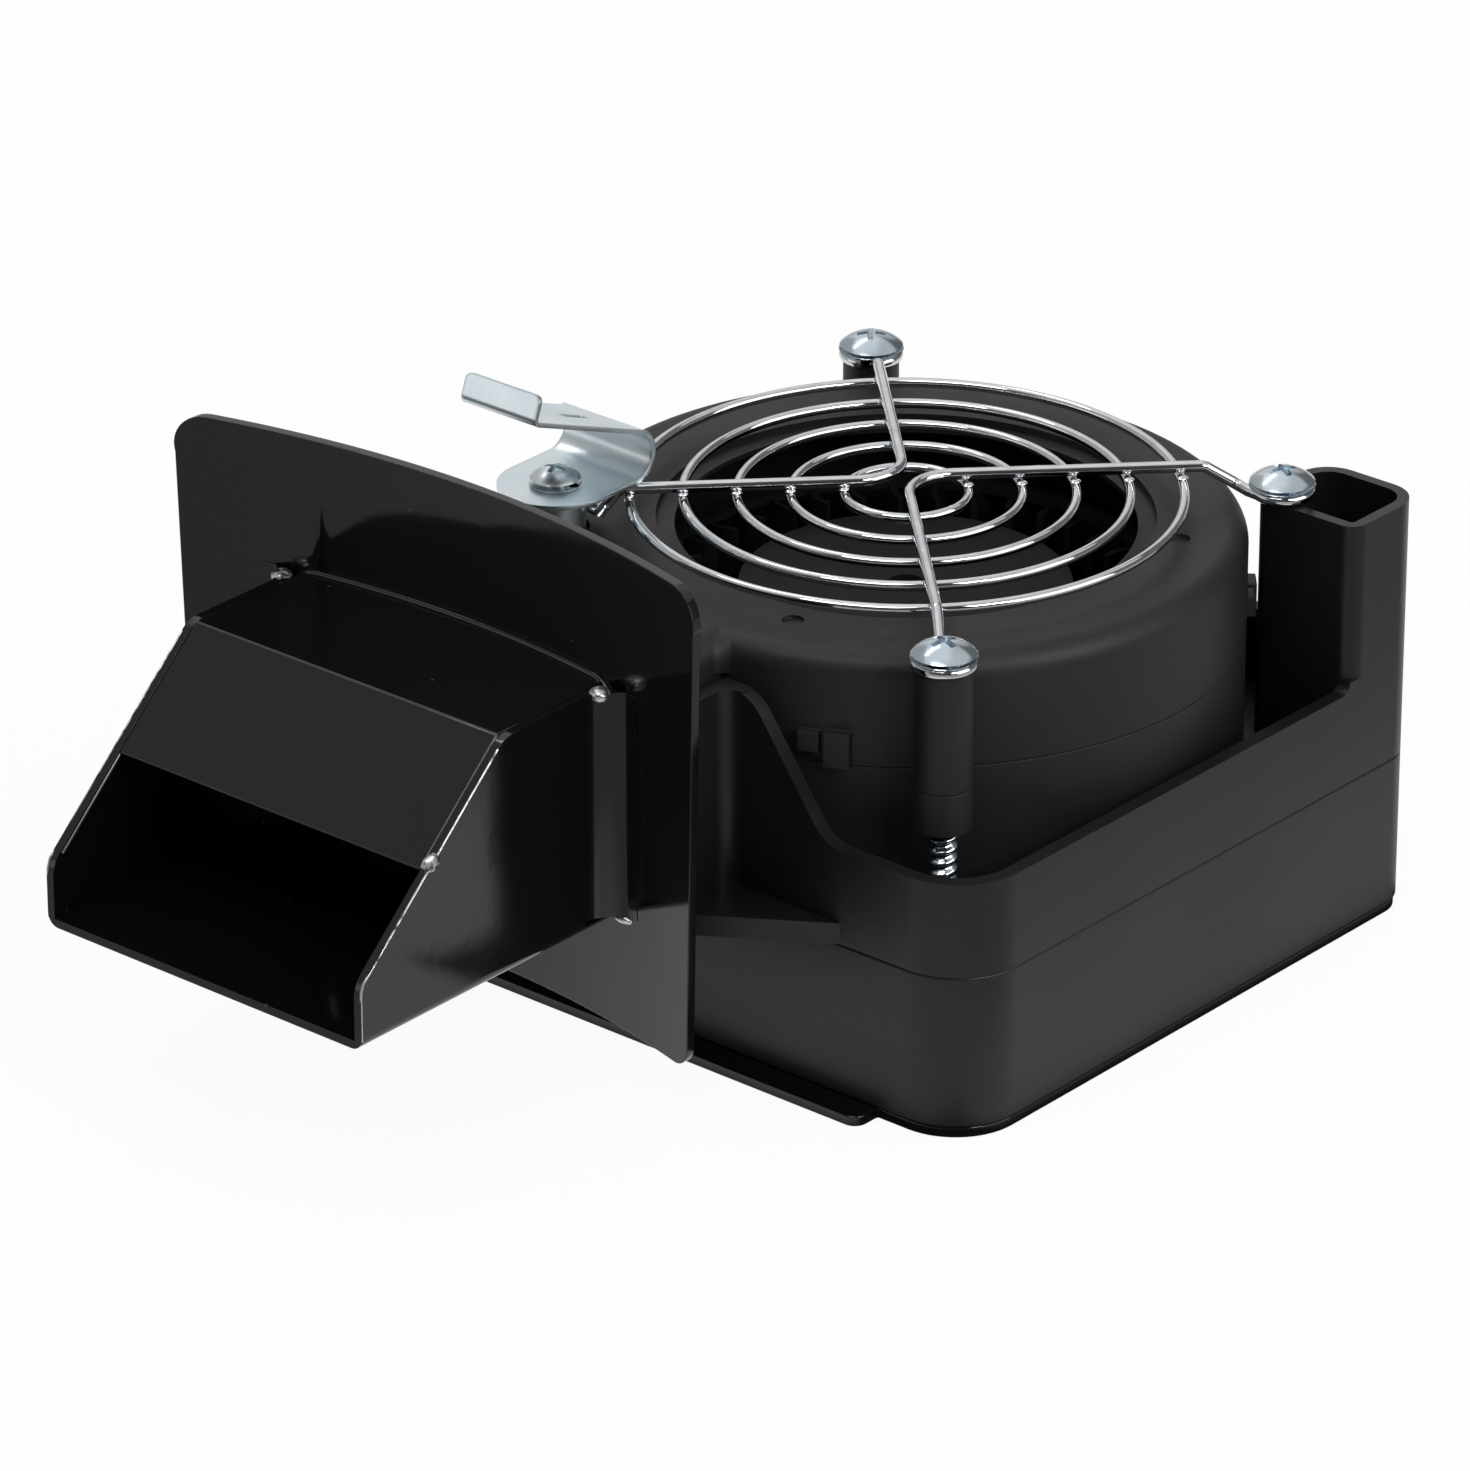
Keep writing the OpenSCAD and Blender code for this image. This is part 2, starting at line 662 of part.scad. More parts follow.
// Lower half of the blower with the motor seat.
module blower_base() {
    color("#1f1f20") difference() {
        union() {
            difference() {
                union() {
                    blower_form(0, deck_z, parting_z + 10, 1);
                    lugs(lug_z, parting_z);
                }
                blower_form(shell_t, floor_z, parting_z + 20, 1);
            }
            translate([0, 0, floor_z - 1]) cylinder(r = pad_r, h = pad_h + 1);
        }
        block([-far, -far, parting_z], [far, far, far]);
        plate_drum(plate_r + plate_t + seam_play, 0, far);
        translate([0, 0, floor_z]) cylinder(r = tube_d / 2 + fit, h = far);
        for (p = lug_places) translate([p[0], p[1], 0]) cylinder(d = screw_d + 2 * screw_play, h = far);
    }
}

// Upper half of the blower with the inlet, the snap catches and the recess for the spacer.
module blower_cover() {
    color("#1f1f20") difference() {
        union() {
            difference() {
                union() {
                    blower_form(0, deck_z, top_z, shoulder_r);
                    outlet_corner(gable_z + seam_play);
                    lugs(parting_z, seat_z);
                    for (turn = [-64, 41, 146]) translate([cos(turn) < 0 ? -scroll : 0, 0, 0]) rotate(turn) {
                        block([body_r - 1, 0.2, parting_z], [body_r + 1.4, 3.8, parting_z + 5]);
                        block([body_r - 1, -3.4, parting_z + 1.8], [body_r + 1, -0.4, parting_z + 4.8]);
                    }
                }
                blower_form(shell_t, deck_z - 1, top_z - shell_t, shoulder_r - shell_t);
            }
            translate([-clip_x, clip_y, recess_z - shell_t])
                cylinder(r = recess_r + shell_t, h = top_z - recess_z + shell_t * 0.3);
            translate([-clip_x, clip_y, clip_tip - 1.6]) cylinder(d = clip_boss_d, h = recess_z - clip_tip);
        }
        block([-far, -far, 0], [far, far, parting_z]);
        plate_drum(plate_r + plate_t + seam_play, 0, far);
        cylinder(r = inlet_r, h = far);
        translate([0, 0, top_z - 1]) cylinder(r = inlet_r + 2.5, h = far);
        translate([-clip_x, clip_y, recess_z]) cylinder(r = recess_r, h = far);
        translate([-clip_x, clip_y, clip_tip - 0.4]) cylinder(d = clip_screw_d + 2 * fit, h = far);
        for (turn = [-74, 28]) rotate(turn) translate([wheel_r + 1, 0, top_z - 0.5]) cylinder(d = 3, h = 2);
        for (p = lug_places) translate([p[0], p[1], 0]) cylinder(d = screw_d + 2 * screw_play, h = far);
    }
}

// Fan wheel: hub, bottom disc, curved blades and top ring.
module impeller() {
    curve = blade_depth * 0.72;
    sweep = asin(blade_depth / 2 / (curve + blade_t));
    color("#262627") {
        tube(hub_r, hub_r - hub_t, wheel_z, hub_z);
        tube(hub_r - 0.2, shaft_d / 2 + 1, hub_z - hub_t, hub_z);
        tube(wheel_r, hub_r - 0.2, wheel_z, wheel_z + disc_t);
        tube(wheel_r, wheel_r - 2.4, blade_top - disc_t, blade_top);
        for (i = [0 : blade_n - 1]) rotate(i * 360 / blade_n)
            translate([wheel_r - blade_depth / 2 - 0.1, -curve * 0.8, wheel_z + disc_t - 0.2])
                rotate(90 - sweep) rotate_extrude(angle = 2 * sweep) translate([curve, 0])
                    square([blade_t, blade_top - wheel_z - disc_t - 0.4]);
    }
}

// Steel cup that carries the magnet, pressed on the shaft.
module rotor_cup() {
    color("#8a8c90") {
        tube(cup_r, cup_r - cup_t, cup_low, cup_top);
        tube(cup_r - 0.2, shaft_d / 2 + fit, cup_top - cup_t, cup_top);
        tube(shaft_d / 2 + 1.8, shaft_d / 2 + fit, tube_top + 0.4, cup_top - 0.2);
    }
}

// Ring magnet glued into the cup.
module magnet_ring() {
    color("#3b3b3d") tube(magnet_r, magnet_r - magnet_t, cup_low + 1, cup_top - cup_t - 2);
}

// Ground shaft with a groove for the retaining ring.
module motor_shaft() {
    color("#c2c4c8") difference() {
        translate([0, 0, shaft_z0]) cylinder(d = shaft_d, h = cup_top + 0.4 - shaft_z0);
        tube(shaft_d, shaft_d / 2 - 0.35, groove_z, groove_z + clip_ring_t + 0.1);
    }
}

// Retaining ring in the groove of the shaft.
module shaft_clip() {
    color("#55565a") difference() {
        tube(shaft_d / 2 + 1.2, shaft_d / 2 - 0.35 + fit, groove_z + 0.05, groove_z + 0.05 + clip_ring_t);
        block([0, -shaft_d * 0.3, 0], [far, shaft_d * 0.3, far]);
    }
}

// Ball bearing drawn as one closed ring.
module bearing(z) {
    color("#b9bbbf") tube(bearing_d / 2 - fit, shaft_d / 2 + run_play, z, z + bearing_h);
}

module upper_bearing() {
    bearing(top_bearing_z);
}

module lower_bearing() {
    bearing(low_bearing_z);
}

// Brass tube with a shoulder between the two bearings.
module bearing_tube() {
    color("#b08d46") difference() {
        tube(tube_d / 2, bearing_d / 2 - 0.9, floor_z, tube_top);
        cylinder(d = bearing_d, h = low_bearing_z + bearing_h);
        translate([0, 0, top_bearing_z]) cylinder(d = bearing_d, h = far);
    }
}

// Stack of laminations with one arm and shoe for each pole.
module stator_core() {
    arm = core_r * 0.2;
    color("#77787c") translate([0, 0, core_z0]) linear_extrude(core_z1 - core_z0) difference() {
        union() {
            circle(core_in + core_ring);
            for (i = [0 : pole_n - 1]) rotate(i * 360 / pole_n) intersection() {
                union() {
                    translate([0, -arm / 2]) square([core_r, arm]);
                    difference() {
                        circle(core_r);
                        circle(core_r - shoe_t);
                    }
                }
                polygon([[0, 0], [far * cos(160 / pole_n), -far * sin(160 / pole_n)],
                    [far * cos(160 / pole_n), far * sin(160 / pole_n)]]);
                circle(core_r);
            }
        }
        circle(core_in);
    }
}

// One coil round each pole arm.
module stator_windings() {
    arm = core_r * 0.2;
    x0 = core_in + core_ring + coil_gap;
    x1 = core_r - shoe_t - coil_gap;
    color("#b5652c") for (i = [0 : pole_n - 1]) rotate(i * 360 / pole_n) difference() {
        block([x0, -arm / 2 - coil_t, core_z0 - coil_t], [x1, arm / 2 + coil_t, core_z1 + coil_t]);
        block([x0 - 1, -arm / 2 - fit, core_z0 - fit], [x1 + 1, arm / 2 + fit, core_z1 + fit]);
    }
}

// Ring board under the windings, resting on the motor seat.
module circuit_board() {
    color("#2d5a3a") tube(core_r - 0.5, tube_d / 2 + 2 * fit, board_z, board_z + board_t);
}

// Concentric wire rings.
module guard_rings() {
    color("#d8dadd") for (i = [0 : ring_n - 1])
        translate([0, 0, ring_z]) rotate_extrude() translate([ring_r - i * ring_step, 0])
            circle(d = ring_d, $fn = 24);
}

// Leg of a spoke along X: level from the middle bend, slanting down and level into its eye.
module spoke_leg(reach, dip, end) {
    slant = eye_drop / sin(dip);
    foot = reach - end;
    knee = foot - slant * cos(dip);
    translate([spoke_bend, 0, spoke_z]) rotate([0, 90, 0]) cylinder(d = spoke_d, h = knee - spoke_bend);
    translate([knee, 0, spoke_z]) rotate([0, 90 + dip, 0]) cylinder(d = spoke_d, h = slant);
    translate([foot, 0, eye_z]) rotate([0, 90, 0]) cylinder(d = spoke_d, h = end);
    for (at = [[spoke_bend, spoke_z], [knee, spoke_z], [foot, eye_z]])
        translate([at[0], 0, at[1]]) sphere(d = spoke_d + knee_swell);
}

// One bent spoke wire: its corner, the heading of its first leg, and the eye and dip of each leg.
module spoke(corner, heading, eyes) {
    translate([corner[0], corner[1], 0]) rotate(heading) {
        for (i = [0, 1]) rotate(-90 * i) {
            a = heading - 90 * i;
            way = eyes[i][0] - corner;
            along = way[0] * cos(a) + way[1] * sin(a);
            aside = way[1] * cos(a) - way[0] * sin(a);
            spoke_leg(along - sqrt(pow(eyes[i][1], 2) - aside * aside), eyes[i][2], eyes[i][3]);
        }
        translate([spoke_bend, -spoke_bend, spoke_z]) rotate(90) rotate_extrude(angle = 90)
            translate([spoke_bend, 0]) circle(d = spoke_d, $fn = 24);
    }
}

// Two bent wires over the rings, with eyes under the screw heads and one hook behind the spacer.
module guard_spokes() {
    color("#d8dadd") {
        spoke([-0.6, 0.6], 225, [[[-clip_x, clip_y], hook_r, hook_dip, hook_end],
            [[-sq, sq], eye_r, dip_angle, dip_end]]);
        spoke([-1.5, 1.5], 45, [[[sq, sq], eye_r, dip_angle, dip_end],
            [[sq, -sq], eye_r, dip_angle, dip_end]]);
        for (p = guard_places) translate([p[0], p[1], eye_z]) rotate_extrude()
            translate([eye_r, 0]) circle(d = eye_d, $fn = 24);
        translate([-clip_x, clip_y, eye_z]) rotate(32) rotate_extrude(angle = 200)
            translate([hook_r, 0]) circle(d = eye_d, $fn = 24);
    }
}

// Three long screws that hold the guard, the blower and the chute boss.
module guard_screws() {
    color("#c9ccd2") for (p = guard_places) translate([p[0], p[1], head_z]) {
        cross_head(screw_head, head_h);
        translate([0, 0, -screw_l]) cylinder(d = screw_d, h = screw_l + 0.3);
    }
}

// Zinc plated spacer under the spring clip.
module clip_spacer() {
    color("#b9c0c6") translate([-clip_x, clip_y, 0])
        tube(spacer_d / 2, clip_screw_d / 2 + screw_play, recess_z, tongue_z);
}

// Pan head screw that holds the spring clip and its spacer.
module clip_screw() {
    color("#c9ccd2") translate([-clip_x, clip_y, tongue_z + strip_t]) {
        cross_head(clip_screw_d * 2, 2.4);
        translate([0, 0, -clip_screw_l]) cylinder(d = clip_screw_d, h = clip_screw_l + 0.3);
    }
}

// Part of the bend of the spring strip between two headings, in degrees from the tongue.
module strip_bend(from, to) {
    translate([-clip_x - strip_w / 2, bend_cy, bend_z]) rotate([0, 90, 0]) rotate(from)
        rotate_extrude(angle = to - from) translate([bend_r, 0]) square([strip_t, strip_w]);
}

// Fixed tongue of the spring strip with the lower part of the bend.
module latch_tongue() {
    color("#c3ccd1") {
        translate([0, 0, tongue_z]) linear_extrude(strip_t) difference() {
            union() {
                translate([-clip_x, clip_y]) circle(d = strip_w);
                translate([-clip_x - strip_w / 2, clip_y]) square([strip_w, bend_y + 0.1]);
            }
            translate([-clip_x, clip_y]) circle(d = clip_screw_d + 2 * screw_play);
        }
        strip_bend(0, split_at);
    }
}

// Springing arm with the upper part of the bend and the end tab.
module latch_arm() {
    tab_r = 1.5;
    color("#c3ccd1") {
        strip_bend(split_at + split_gap, 180 - arm_rise);
        translate([arm_x, bend_cy, bend_z]) rotate([-arm_rise, 0, 0]) {
            block([-arm_w / 2, -arm_l + strip_t, bend_r], [arm_w / 2, 0, bend_r + strip_t]);
            translate([0, -arm_l + strip_t, bend_r]) rotate([90, 0, 0]) linear_extrude(strip_t) {
                translate([-arm_w / 2, 0]) square([arm_w, tab_h - tab_r]);
                translate([-arm_w / 2 + tab_r, 0]) square([arm_w - 2 * tab_r, tab_h]);
                for (side = [-1, 1]) translate([side * (arm_w / 2 - tab_r), tab_h - tab_r]) circle(tab_r);
            }
        }
    }
}

flange_plate();
duct_channel();
duct_cover();
collar_rivets();
base_plate();
base_screws();
lower_housing();
upper_housing();
blower_base();
blower_cover();
impeller();
rotor_cup();
magnet_ring();
motor_shaft();
shaft_clip();
upper_bearing();
lower_bearing();
bearing_tube();
stator_core();
stator_windings();
circuit_board();
guard_rings();
guard_spokes();
guard_screws();
clip_spacer();
clip_screw();
latch_tongue();
latch_arm();
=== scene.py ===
import math

import bpy
from mathutils import Matrix, Vector


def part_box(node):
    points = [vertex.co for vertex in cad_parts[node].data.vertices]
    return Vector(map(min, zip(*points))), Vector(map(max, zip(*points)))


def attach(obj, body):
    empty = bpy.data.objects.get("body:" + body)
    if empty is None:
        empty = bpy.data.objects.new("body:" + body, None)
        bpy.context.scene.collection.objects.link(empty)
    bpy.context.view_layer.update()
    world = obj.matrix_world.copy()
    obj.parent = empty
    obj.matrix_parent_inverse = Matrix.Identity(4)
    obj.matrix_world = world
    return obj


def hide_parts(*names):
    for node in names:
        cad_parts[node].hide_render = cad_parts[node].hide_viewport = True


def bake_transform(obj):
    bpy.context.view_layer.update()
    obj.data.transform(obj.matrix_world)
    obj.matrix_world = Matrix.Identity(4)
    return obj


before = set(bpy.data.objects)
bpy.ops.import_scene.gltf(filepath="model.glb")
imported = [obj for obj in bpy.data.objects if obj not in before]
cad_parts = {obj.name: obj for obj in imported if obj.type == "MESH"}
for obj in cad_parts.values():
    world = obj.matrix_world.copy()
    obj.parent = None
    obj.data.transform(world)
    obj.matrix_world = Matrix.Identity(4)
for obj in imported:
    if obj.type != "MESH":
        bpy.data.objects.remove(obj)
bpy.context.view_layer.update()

# Base plate
# The bottom of the box: punched sheet steel with a lip along the front, dipped in gloss black enamel.
# It lies under the lower housing and is held by four countersunk screws from below.
MM = 0.001
# Points this close are one point, and faces within this angle are one flat
SAME_POINT = 0.002 * MM
SAME_FLAT = math.radians(0.4)
# Edges sharper than the first angle are rounded, and shading runs smooth up to the second
ROUND_FROM = math.radians(32)
SMOOTH_TO = math.radians(34)


def linear(code):
    """Turns an sRGB hex colour into the linear colour that a socket takes."""
    values = [int(code[i:i + 2], 16) / 255 for i in (1, 3, 5)]
    return tuple(v / 12.92 if v <= 0.04045 else ((v + 0.055) / 1.055) ** 2.4 for v in values) + (1.0,)


def add(tree, kind, feeds=None, **settings):
    """Adds one node with its settings; feeds gives each socket a value or the socket that drives it."""
    node = tree.nodes.new(kind)
    for name, value in settings.items():
        setattr(node, name, value)
    for socket, value in (feeds or {}).items():
        if isinstance(value, bpy.types.NodeSocket):
            tree.links.new(value, node.inputs[socket])
        else:
            node.inputs[socket].default_value = value
    return node


def empty_material(name):
    """A material with no nodes yet, and its node tree."""
    material = bpy.data.materials.new(name)
    material.use_nodes = True
    material.node_tree.nodes.clear()
    return material, material.node_tree


def finish_piece(piece, material, body, nodes=()):
    """Gives a finished piece its material, the body it moves with and the nodes it stands for."""
    piece.data.materials.clear()
    piece.data.materials.append(material)
    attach(piece, body)
    if nodes:
        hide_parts(*nodes)
    return piece


def copied(node, name):
    """Copies a CAD piece and merges its loose triangles, so that it can be worked on as one skin."""
    bpy.ops.object.select_all(action="DESELECT")
    piece = bpy.data.objects.new(name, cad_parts[node].data.copy())
    bpy.context.scene.collection.objects.link(piece)
    bpy.context.view_layer.objects.active = piece
    piece.select_set(True)
    bpy.ops.object.mode_set(mode="EDIT")
    bpy.ops.mesh.select_all(action="SELECT")
    bpy.ops.mesh.remove_doubles(threshold=SAME_POINT)
    bpy.ops.mesh.customdata_custom_splitnormals_clear()
    bpy.ops.object.mode_set(mode="OBJECT")
    return piece


def smoothed(piece):
    """Shades a piece smooth, with its normals held by the large faces, so that flats stay flat."""
    bpy.ops.object.shade_smooth_by_angle(angle=SMOOTH_TO)
    flats = piece.modifiers.new("flats", "WEIGHTED_NORMAL")
    flats.mode = "FACE_AREA"
    flats.weight = 100
    flats.keep_sharp = True
    bpy.ops.object.modifier_apply(modifier="flats")


def softened(piece, radius, steps=2):
    """Makes each flat of a copied piece one face and rounds its edges by a radius in mm."""
    bpy.ops.object.mode_set(mode="EDIT")
    bpy.ops.mesh.select_all(action="SELECT")
    bpy.ops.mesh.dissolve_limited(angle_limit=SAME_FLAT)
    bpy.ops.object.mode_set(mode="OBJECT")
    edges = piece.modifiers.new("edges", "BEVEL")
    edges.width = radius * MM
    edges.segments = steps
    edges.limit_method = "ANGLE"
    edges.angle_limit = ROUND_FROM
    edges.use_clamp_overlap = True
    edges.miter_outer = "MITER_ARC"
    bpy.ops.object.modifier_apply(modifier="edges")
    smoothed(piece)
    return piece


# Gloss black enamel: dipped and baked. It gives deep mirror reflections that wobble with the orange
# peel and the slow waves of the sheet, and a little dust.
enamel, tree = empty_material("gloss_black_enamel")
place = add(tree, "ShaderNodeTexCoord").outputs["Object"]
wave = add(tree, "ShaderNodeTexNoise", {"Vector": place, "Scale": 1 / (24 * MM), "Detail": 1.0})
peel = add(tree, "ShaderNodeTexNoise", {"Vector": place, "Scale": 1 / (1.8 * MM), "Detail": 2.0})
dust = add(tree, "ShaderNodeTexVoronoi", {"Vector": place, "Scale": 1 / (6 * MM)})
speck = add(tree, "ShaderNodeMapRange", {"Value": dust.outputs["Distance"],
                                         "From Min": 0.05, "From Max": 0.025,
                                         "To Min": 0.0, "To Max": 0.5})
haze = add(tree, "ShaderNodeMapRange", {"Value": wave.outputs["Fac"], "From Min": 0.35, "From Max": 0.65,
                                        "To Min": 0.07, "To Max": 0.13})
tint = add(tree, "ShaderNodeMix", {"Factor": speck.outputs["Result"],
                                   6: linear("#0a0a0b"), 7: linear("#4d4d4c")}, data_type="RGBA")
bump = add(tree, "ShaderNodeBump", {"Height": wave.outputs["Fac"], "Distance": 0.22 * MM, "Strength": 1.0})
bump = add(tree, "ShaderNodeBump", {"Height": peel.outputs["Fac"], "Distance": 0.006 * MM, "Strength": 1.0,
                                    "Normal": bump.outputs["Normal"]})
shader = add(tree, "ShaderNodeBsdfPrincipled", {"Base Color": tint.outputs[2],
                                                "Roughness": haze.outputs["Result"],
                                                "Normal": bump.outputs["Normal"], "IOR": 1.5})
add(tree, "ShaderNodeOutputMaterial", {"Surface": shader.outputs[0]})

base_sheet = softened(copied("base_plate", "base_sheet"), radius=0.65, steps=4)
finish_piece(base_sheet, enamel, "housing", ["base_plate"])

# Base screws
# Four small countersunk screws of blackened steel that go up through the base plate into the posts.
# They are seen only from below.


def mottled(name, size, dark, pale, feeds, detail=3.0, drawn=None, polish=None, relief=0):
    """A finish whose tone, and where asked polish and relief, follow one noise pattern of a size in mm."""
    material, tree = empty_material(name)
    place = add(tree, "ShaderNodeTexCoord").outputs["Object"]
    if drawn:
        place = add(tree, "ShaderNodeMapping", {"Vector": place, "Scale": drawn}).outputs[0]
    noise = add(tree, "ShaderNodeTexNoise", {"Vector": place, "Scale": 1 / (size * MM), "Detail": detail})
    pattern = noise.outputs["Fac"]
    tint = add(tree, "ShaderNodeMix", {"Factor": pattern, 6: linear(dark), 7: linear(pale)},
               data_type="RGBA")
    feeds = {"Base Color": tint.outputs[2], **feeds}
    if polish:
        span = add(tree, "ShaderNodeMapRange", {"Value": pattern, "To Min": polish[0], "To Max": polish[1]})
        feeds["Roughness"] = span.outputs["Result"]
    if relief:
        bump = add(tree, "ShaderNodeBump", {"Height": pattern, "Distance": relief * MM, "Strength": 1.0})
        feeds["Normal"] = bump.outputs["Normal"]
    shader = add(tree, "ShaderNodeBsdfPrincipled", feeds)
    add(tree, "ShaderNodeOutputMaterial", {"Surface": shader.outputs[0]})
    return material


# Blackened steel: a soft dark grey sheen, mottled where the blacking is thin
blacked = mottled("blackened_steel", 0.8, "#2a2b2d", "#4a4b4e", {"Metallic": 1.0}, polish=(0.3, 0.5))
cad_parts["base_screws"].material_slots[0].material = blacked

# Lower and upper housing
# Two mouldings of satin black ABS that meet at a seam a third of the way up: a plain frame, and a tray
# with the deck, the rim, the collar for the outlet, a ledge and the cable chute.
# Satin black ABS: moulded in an eroded tool, so it is finely grained, with soft wide highlights and a
# few paler rubs. The grain is drawn coarser than it is, so that it shows.
abs_satin, tree = empty_material("satin_black_abs")
place = add(tree, "ShaderNodeTexCoord").outputs["Object"]
grain = add(tree, "ShaderNodeTexNoise", {"Vector": place, "Scale": 1 / (0.5 * MM), "Detail": 3.0,
                                         "Roughness": 0.6})
cloud = add(tree, "ShaderNodeTexNoise", {"Vector": place, "Scale": 1 / (28 * MM), "Detail": 3.0})
flow = add(tree, "ShaderNodeMapping", {"Vector": place, "Scale": (1.0, 1.0, 7.0)})
streak = add(tree, "ShaderNodeTexNoise", {"Vector": flow.outputs[0], "Scale": 1 / (9 * MM), "Detail": 2.0})
mixed = add(tree, "ShaderNodeMath", {0: cloud.outputs["Fac"], 1: streak.outputs["Fac"]}, operation="MULTIPLY")
tint = add(tree, "ShaderNodeMix", {"Factor": mixed.outputs[0],
                                   6: linear("#0d0d0e"), 7: linear("#1c1c1d")}, data_type="RGBA")
satin = add(tree, "ShaderNodeMapRange", {"Value": cloud.outputs["Fac"], "From Min": 0.3, "From Max": 0.7,
                                         "To Min": 0.34, "To Max": 0.44})
bump = add(tree, "ShaderNodeBump", {"Height": grain.outputs["Fac"], "Distance": 0.016 * MM, "Strength": 1.0})
shader = add(tree, "ShaderNodeBsdfPrincipled", {"Base Color": tint.outputs[2],
                                                "Roughness": satin.outputs["Result"],
                                                "Normal": bump.outputs["Normal"], "IOR": 1.53,
                                                "Specular IOR Level": 0.36})
add(tree, "ShaderNodeOutputMaterial", {"Surface": shader.outputs[0]})

BOX_EDGE = 0.45
lower_box = softened(copied("lower_housing", "lower_box"), radius=BOX_EDGE, steps=3)
finish_piece(lower_box, abs_satin, "housing", ["lower_housing"])
upper_box = softened(copied("upper_housing", "upper_box"), radius=BOX_EDGE, steps=3)
finish_piece(upper_box, abs_satin, "housing", ["upper_housing"])

# Flange plate, duct and rivets
# The plate is sheet steel rolled to the round grill wall. The duct is a folded trough with a hooded top
# sheet, welded along its upper edges and to the plate, then the whole is dipped in enamel.
ROLL_R = 148.5
ROLL_X, ROLL_Y = -21.7, -212.4
OPENING_X, OPENING_BAND, NOZZLE_X = -48.1, 0.25, -45.9
CUT_STEP, CUTS = 2, 23
# The flanges start to run out at this distance from the middle, over this length and down to this thickness
FLANGE_FROM, FLANGE_RUN, FLANGE_THIN = 28.6, 2.2, 0.1
# Points that stand further than this before the plate are on the front of a flange
FLANGE_FRONT = 0.6
wall_plate = copied("flange_plate", "wall_plate")
# The opening is drawn in to the nozzle on the left, so that no daylight shows past it inside the duct
for vertex in wall_plate.data.vertices:
    if abs(vertex.co.x / MM - OPENING_X) < OPENING_BAND:
        vertex.co.x = NOZZLE_X * MM
# Laid out as the flat blank, its edges rounded, cut across at even steps and rolled up again
for vertex in wall_plate.data.vertices:
    x, y = vertex.co.x / MM - ROLL_X, vertex.co.y / MM - ROLL_Y
    vertex.co.x, vertex.co.y = ROLL_R * math.atan2(x, y) * MM, (math.hypot(x, y) - ROLL_R) * MM
softened(wall_plate, radius=0.5, steps=3)
bpy.ops.object.mode_set(mode="EDIT")
for cut in range(-CUTS, CUTS + 1):
    bpy.ops.mesh.select_all(action="SELECT")
    bpy.ops.mesh.bisect(plane_co=(CUT_STEP * cut * MM, 0, 0), plane_no=(1, 0, 0))
bpy.ops.object.mode_set(mode="OBJECT")
for vertex in wall_plate.data.vertices:
    turn, out = vertex.co.x / MM / ROLL_R, ROLL_R + vertex.co.y / MM
    vertex.co.x, vertex.co.y = (ROLL_X + out * math.sin(turn)) * MM, (ROLL_Y + out * math.cos(turn)) * MM
smoothed(wall_plate)
finish_piece(wall_plate, enamel, "housing", ["flange_plate"])
duct_trough = copied("duct_channel", "duct_trough")
# The side flanges run out into the plate, where weld and enamel fill the step
for vertex in duct_trough.data.vertices:
    off = abs(vertex.co.x / MM - ROLL_X)
    face = ROLL_Y + math.sqrt(ROLL_R ** 2 - off ** 2)
    if off > FLANGE_FROM and vertex.co.y / MM < face - FLANGE_FRONT:
        share = min((off - FLANGE_FROM) / FLANGE_RUN, 1) ** 1.5
        vertex.co.y += (face - FLANGE_THIN - vertex.co.y / MM) * share * MM
softened(duct_trough, radius=0.35, steps=3)
finish_piece(duct_trough, enamel, "housing", ["duct_channel"])
duct_hood = softened(copied("duct_cover", "duct_hood"), radius=0.3, steps=3)
finish_piece(duct_hood, enamel, "housing", ["duct_cover"])

# Welds: a run along each upper edge of the duct and along its joint with the plate, ground flush and dipped
# with the rest, and drops at the corners and on the sharp edge, where the dip has covered the steel thinly
# and its bright bare steel also stands in for their glints as painted highlight.
RUN_D, JOINT_D, EDGE_D = 1.5, 1.0, 0.3
# Each drop's place, and its half width, depth and height
DROPS = ((6.2, -69.2, 60.2, 1.5, 1.5, 1.0),
         (5.6, -101.0, 47.9, 0.7, 1.7, 1.3),
         (-49.6, -69.0, 60.2, 1.5, 1.5, 1.0),
         (8.3, -67.2, 27.9, 1.6, 0.7, 0.6))
DROP_WOBBLE = 0.12
# Y and Z along the slope of a side sheet, round its corner and along its top edge, back to the plate
RUN_OFF = 26.85
RUN_PATH = ((-112.7, 36.25), (-87.9, 58.75), (-86.9, 59.5), (-85.8, 59.75), (-68.2, 59.75))
# Y and Z along the bare outer corner of a side sheet, up its front and along its slope
EDGE_OFF = 27.5
EDGE_PATH = ((-114.55, 27.6), (-114.55, 34.6), (-114.1, 35.9), (-113.13, 36.72), (-88.33, 59.22))
# The joint with the plate: half its length, where it starts to drop, its height and its depth in the plate
JOINT_HALF, JOINT_LEVEL, JOINT_Z, JOINT_SINK = 27.2, 24.5, 60.6, 0.2
JOINT_DROP = 0.2
JOINT_STEPS = 26


def begin():
    """Leaves edit mode and clears the selection before a new piece is started."""
    if bpy.context.mode != "OBJECT":
        bpy.ops.object.mode_set(mode="OBJECT")
    bpy.ops.object.select_all(action="DESELECT")


def joined(pieces, name):
    """Joins several meshes into one piece at the origin, with its place in its mesh."""
    begin()
    for piece in pieces:
        piece.select_set(True)
    bpy.context.view_layer.objects.active = pieces[0]
    bpy.ops.object.join()
    piece = bpy.context.view_layer.objects.active
    bpy.ops.object.transform_apply(location=True, rotation=True, scale=True)
    piece.name = name
    piece.data.name = name
    return piece


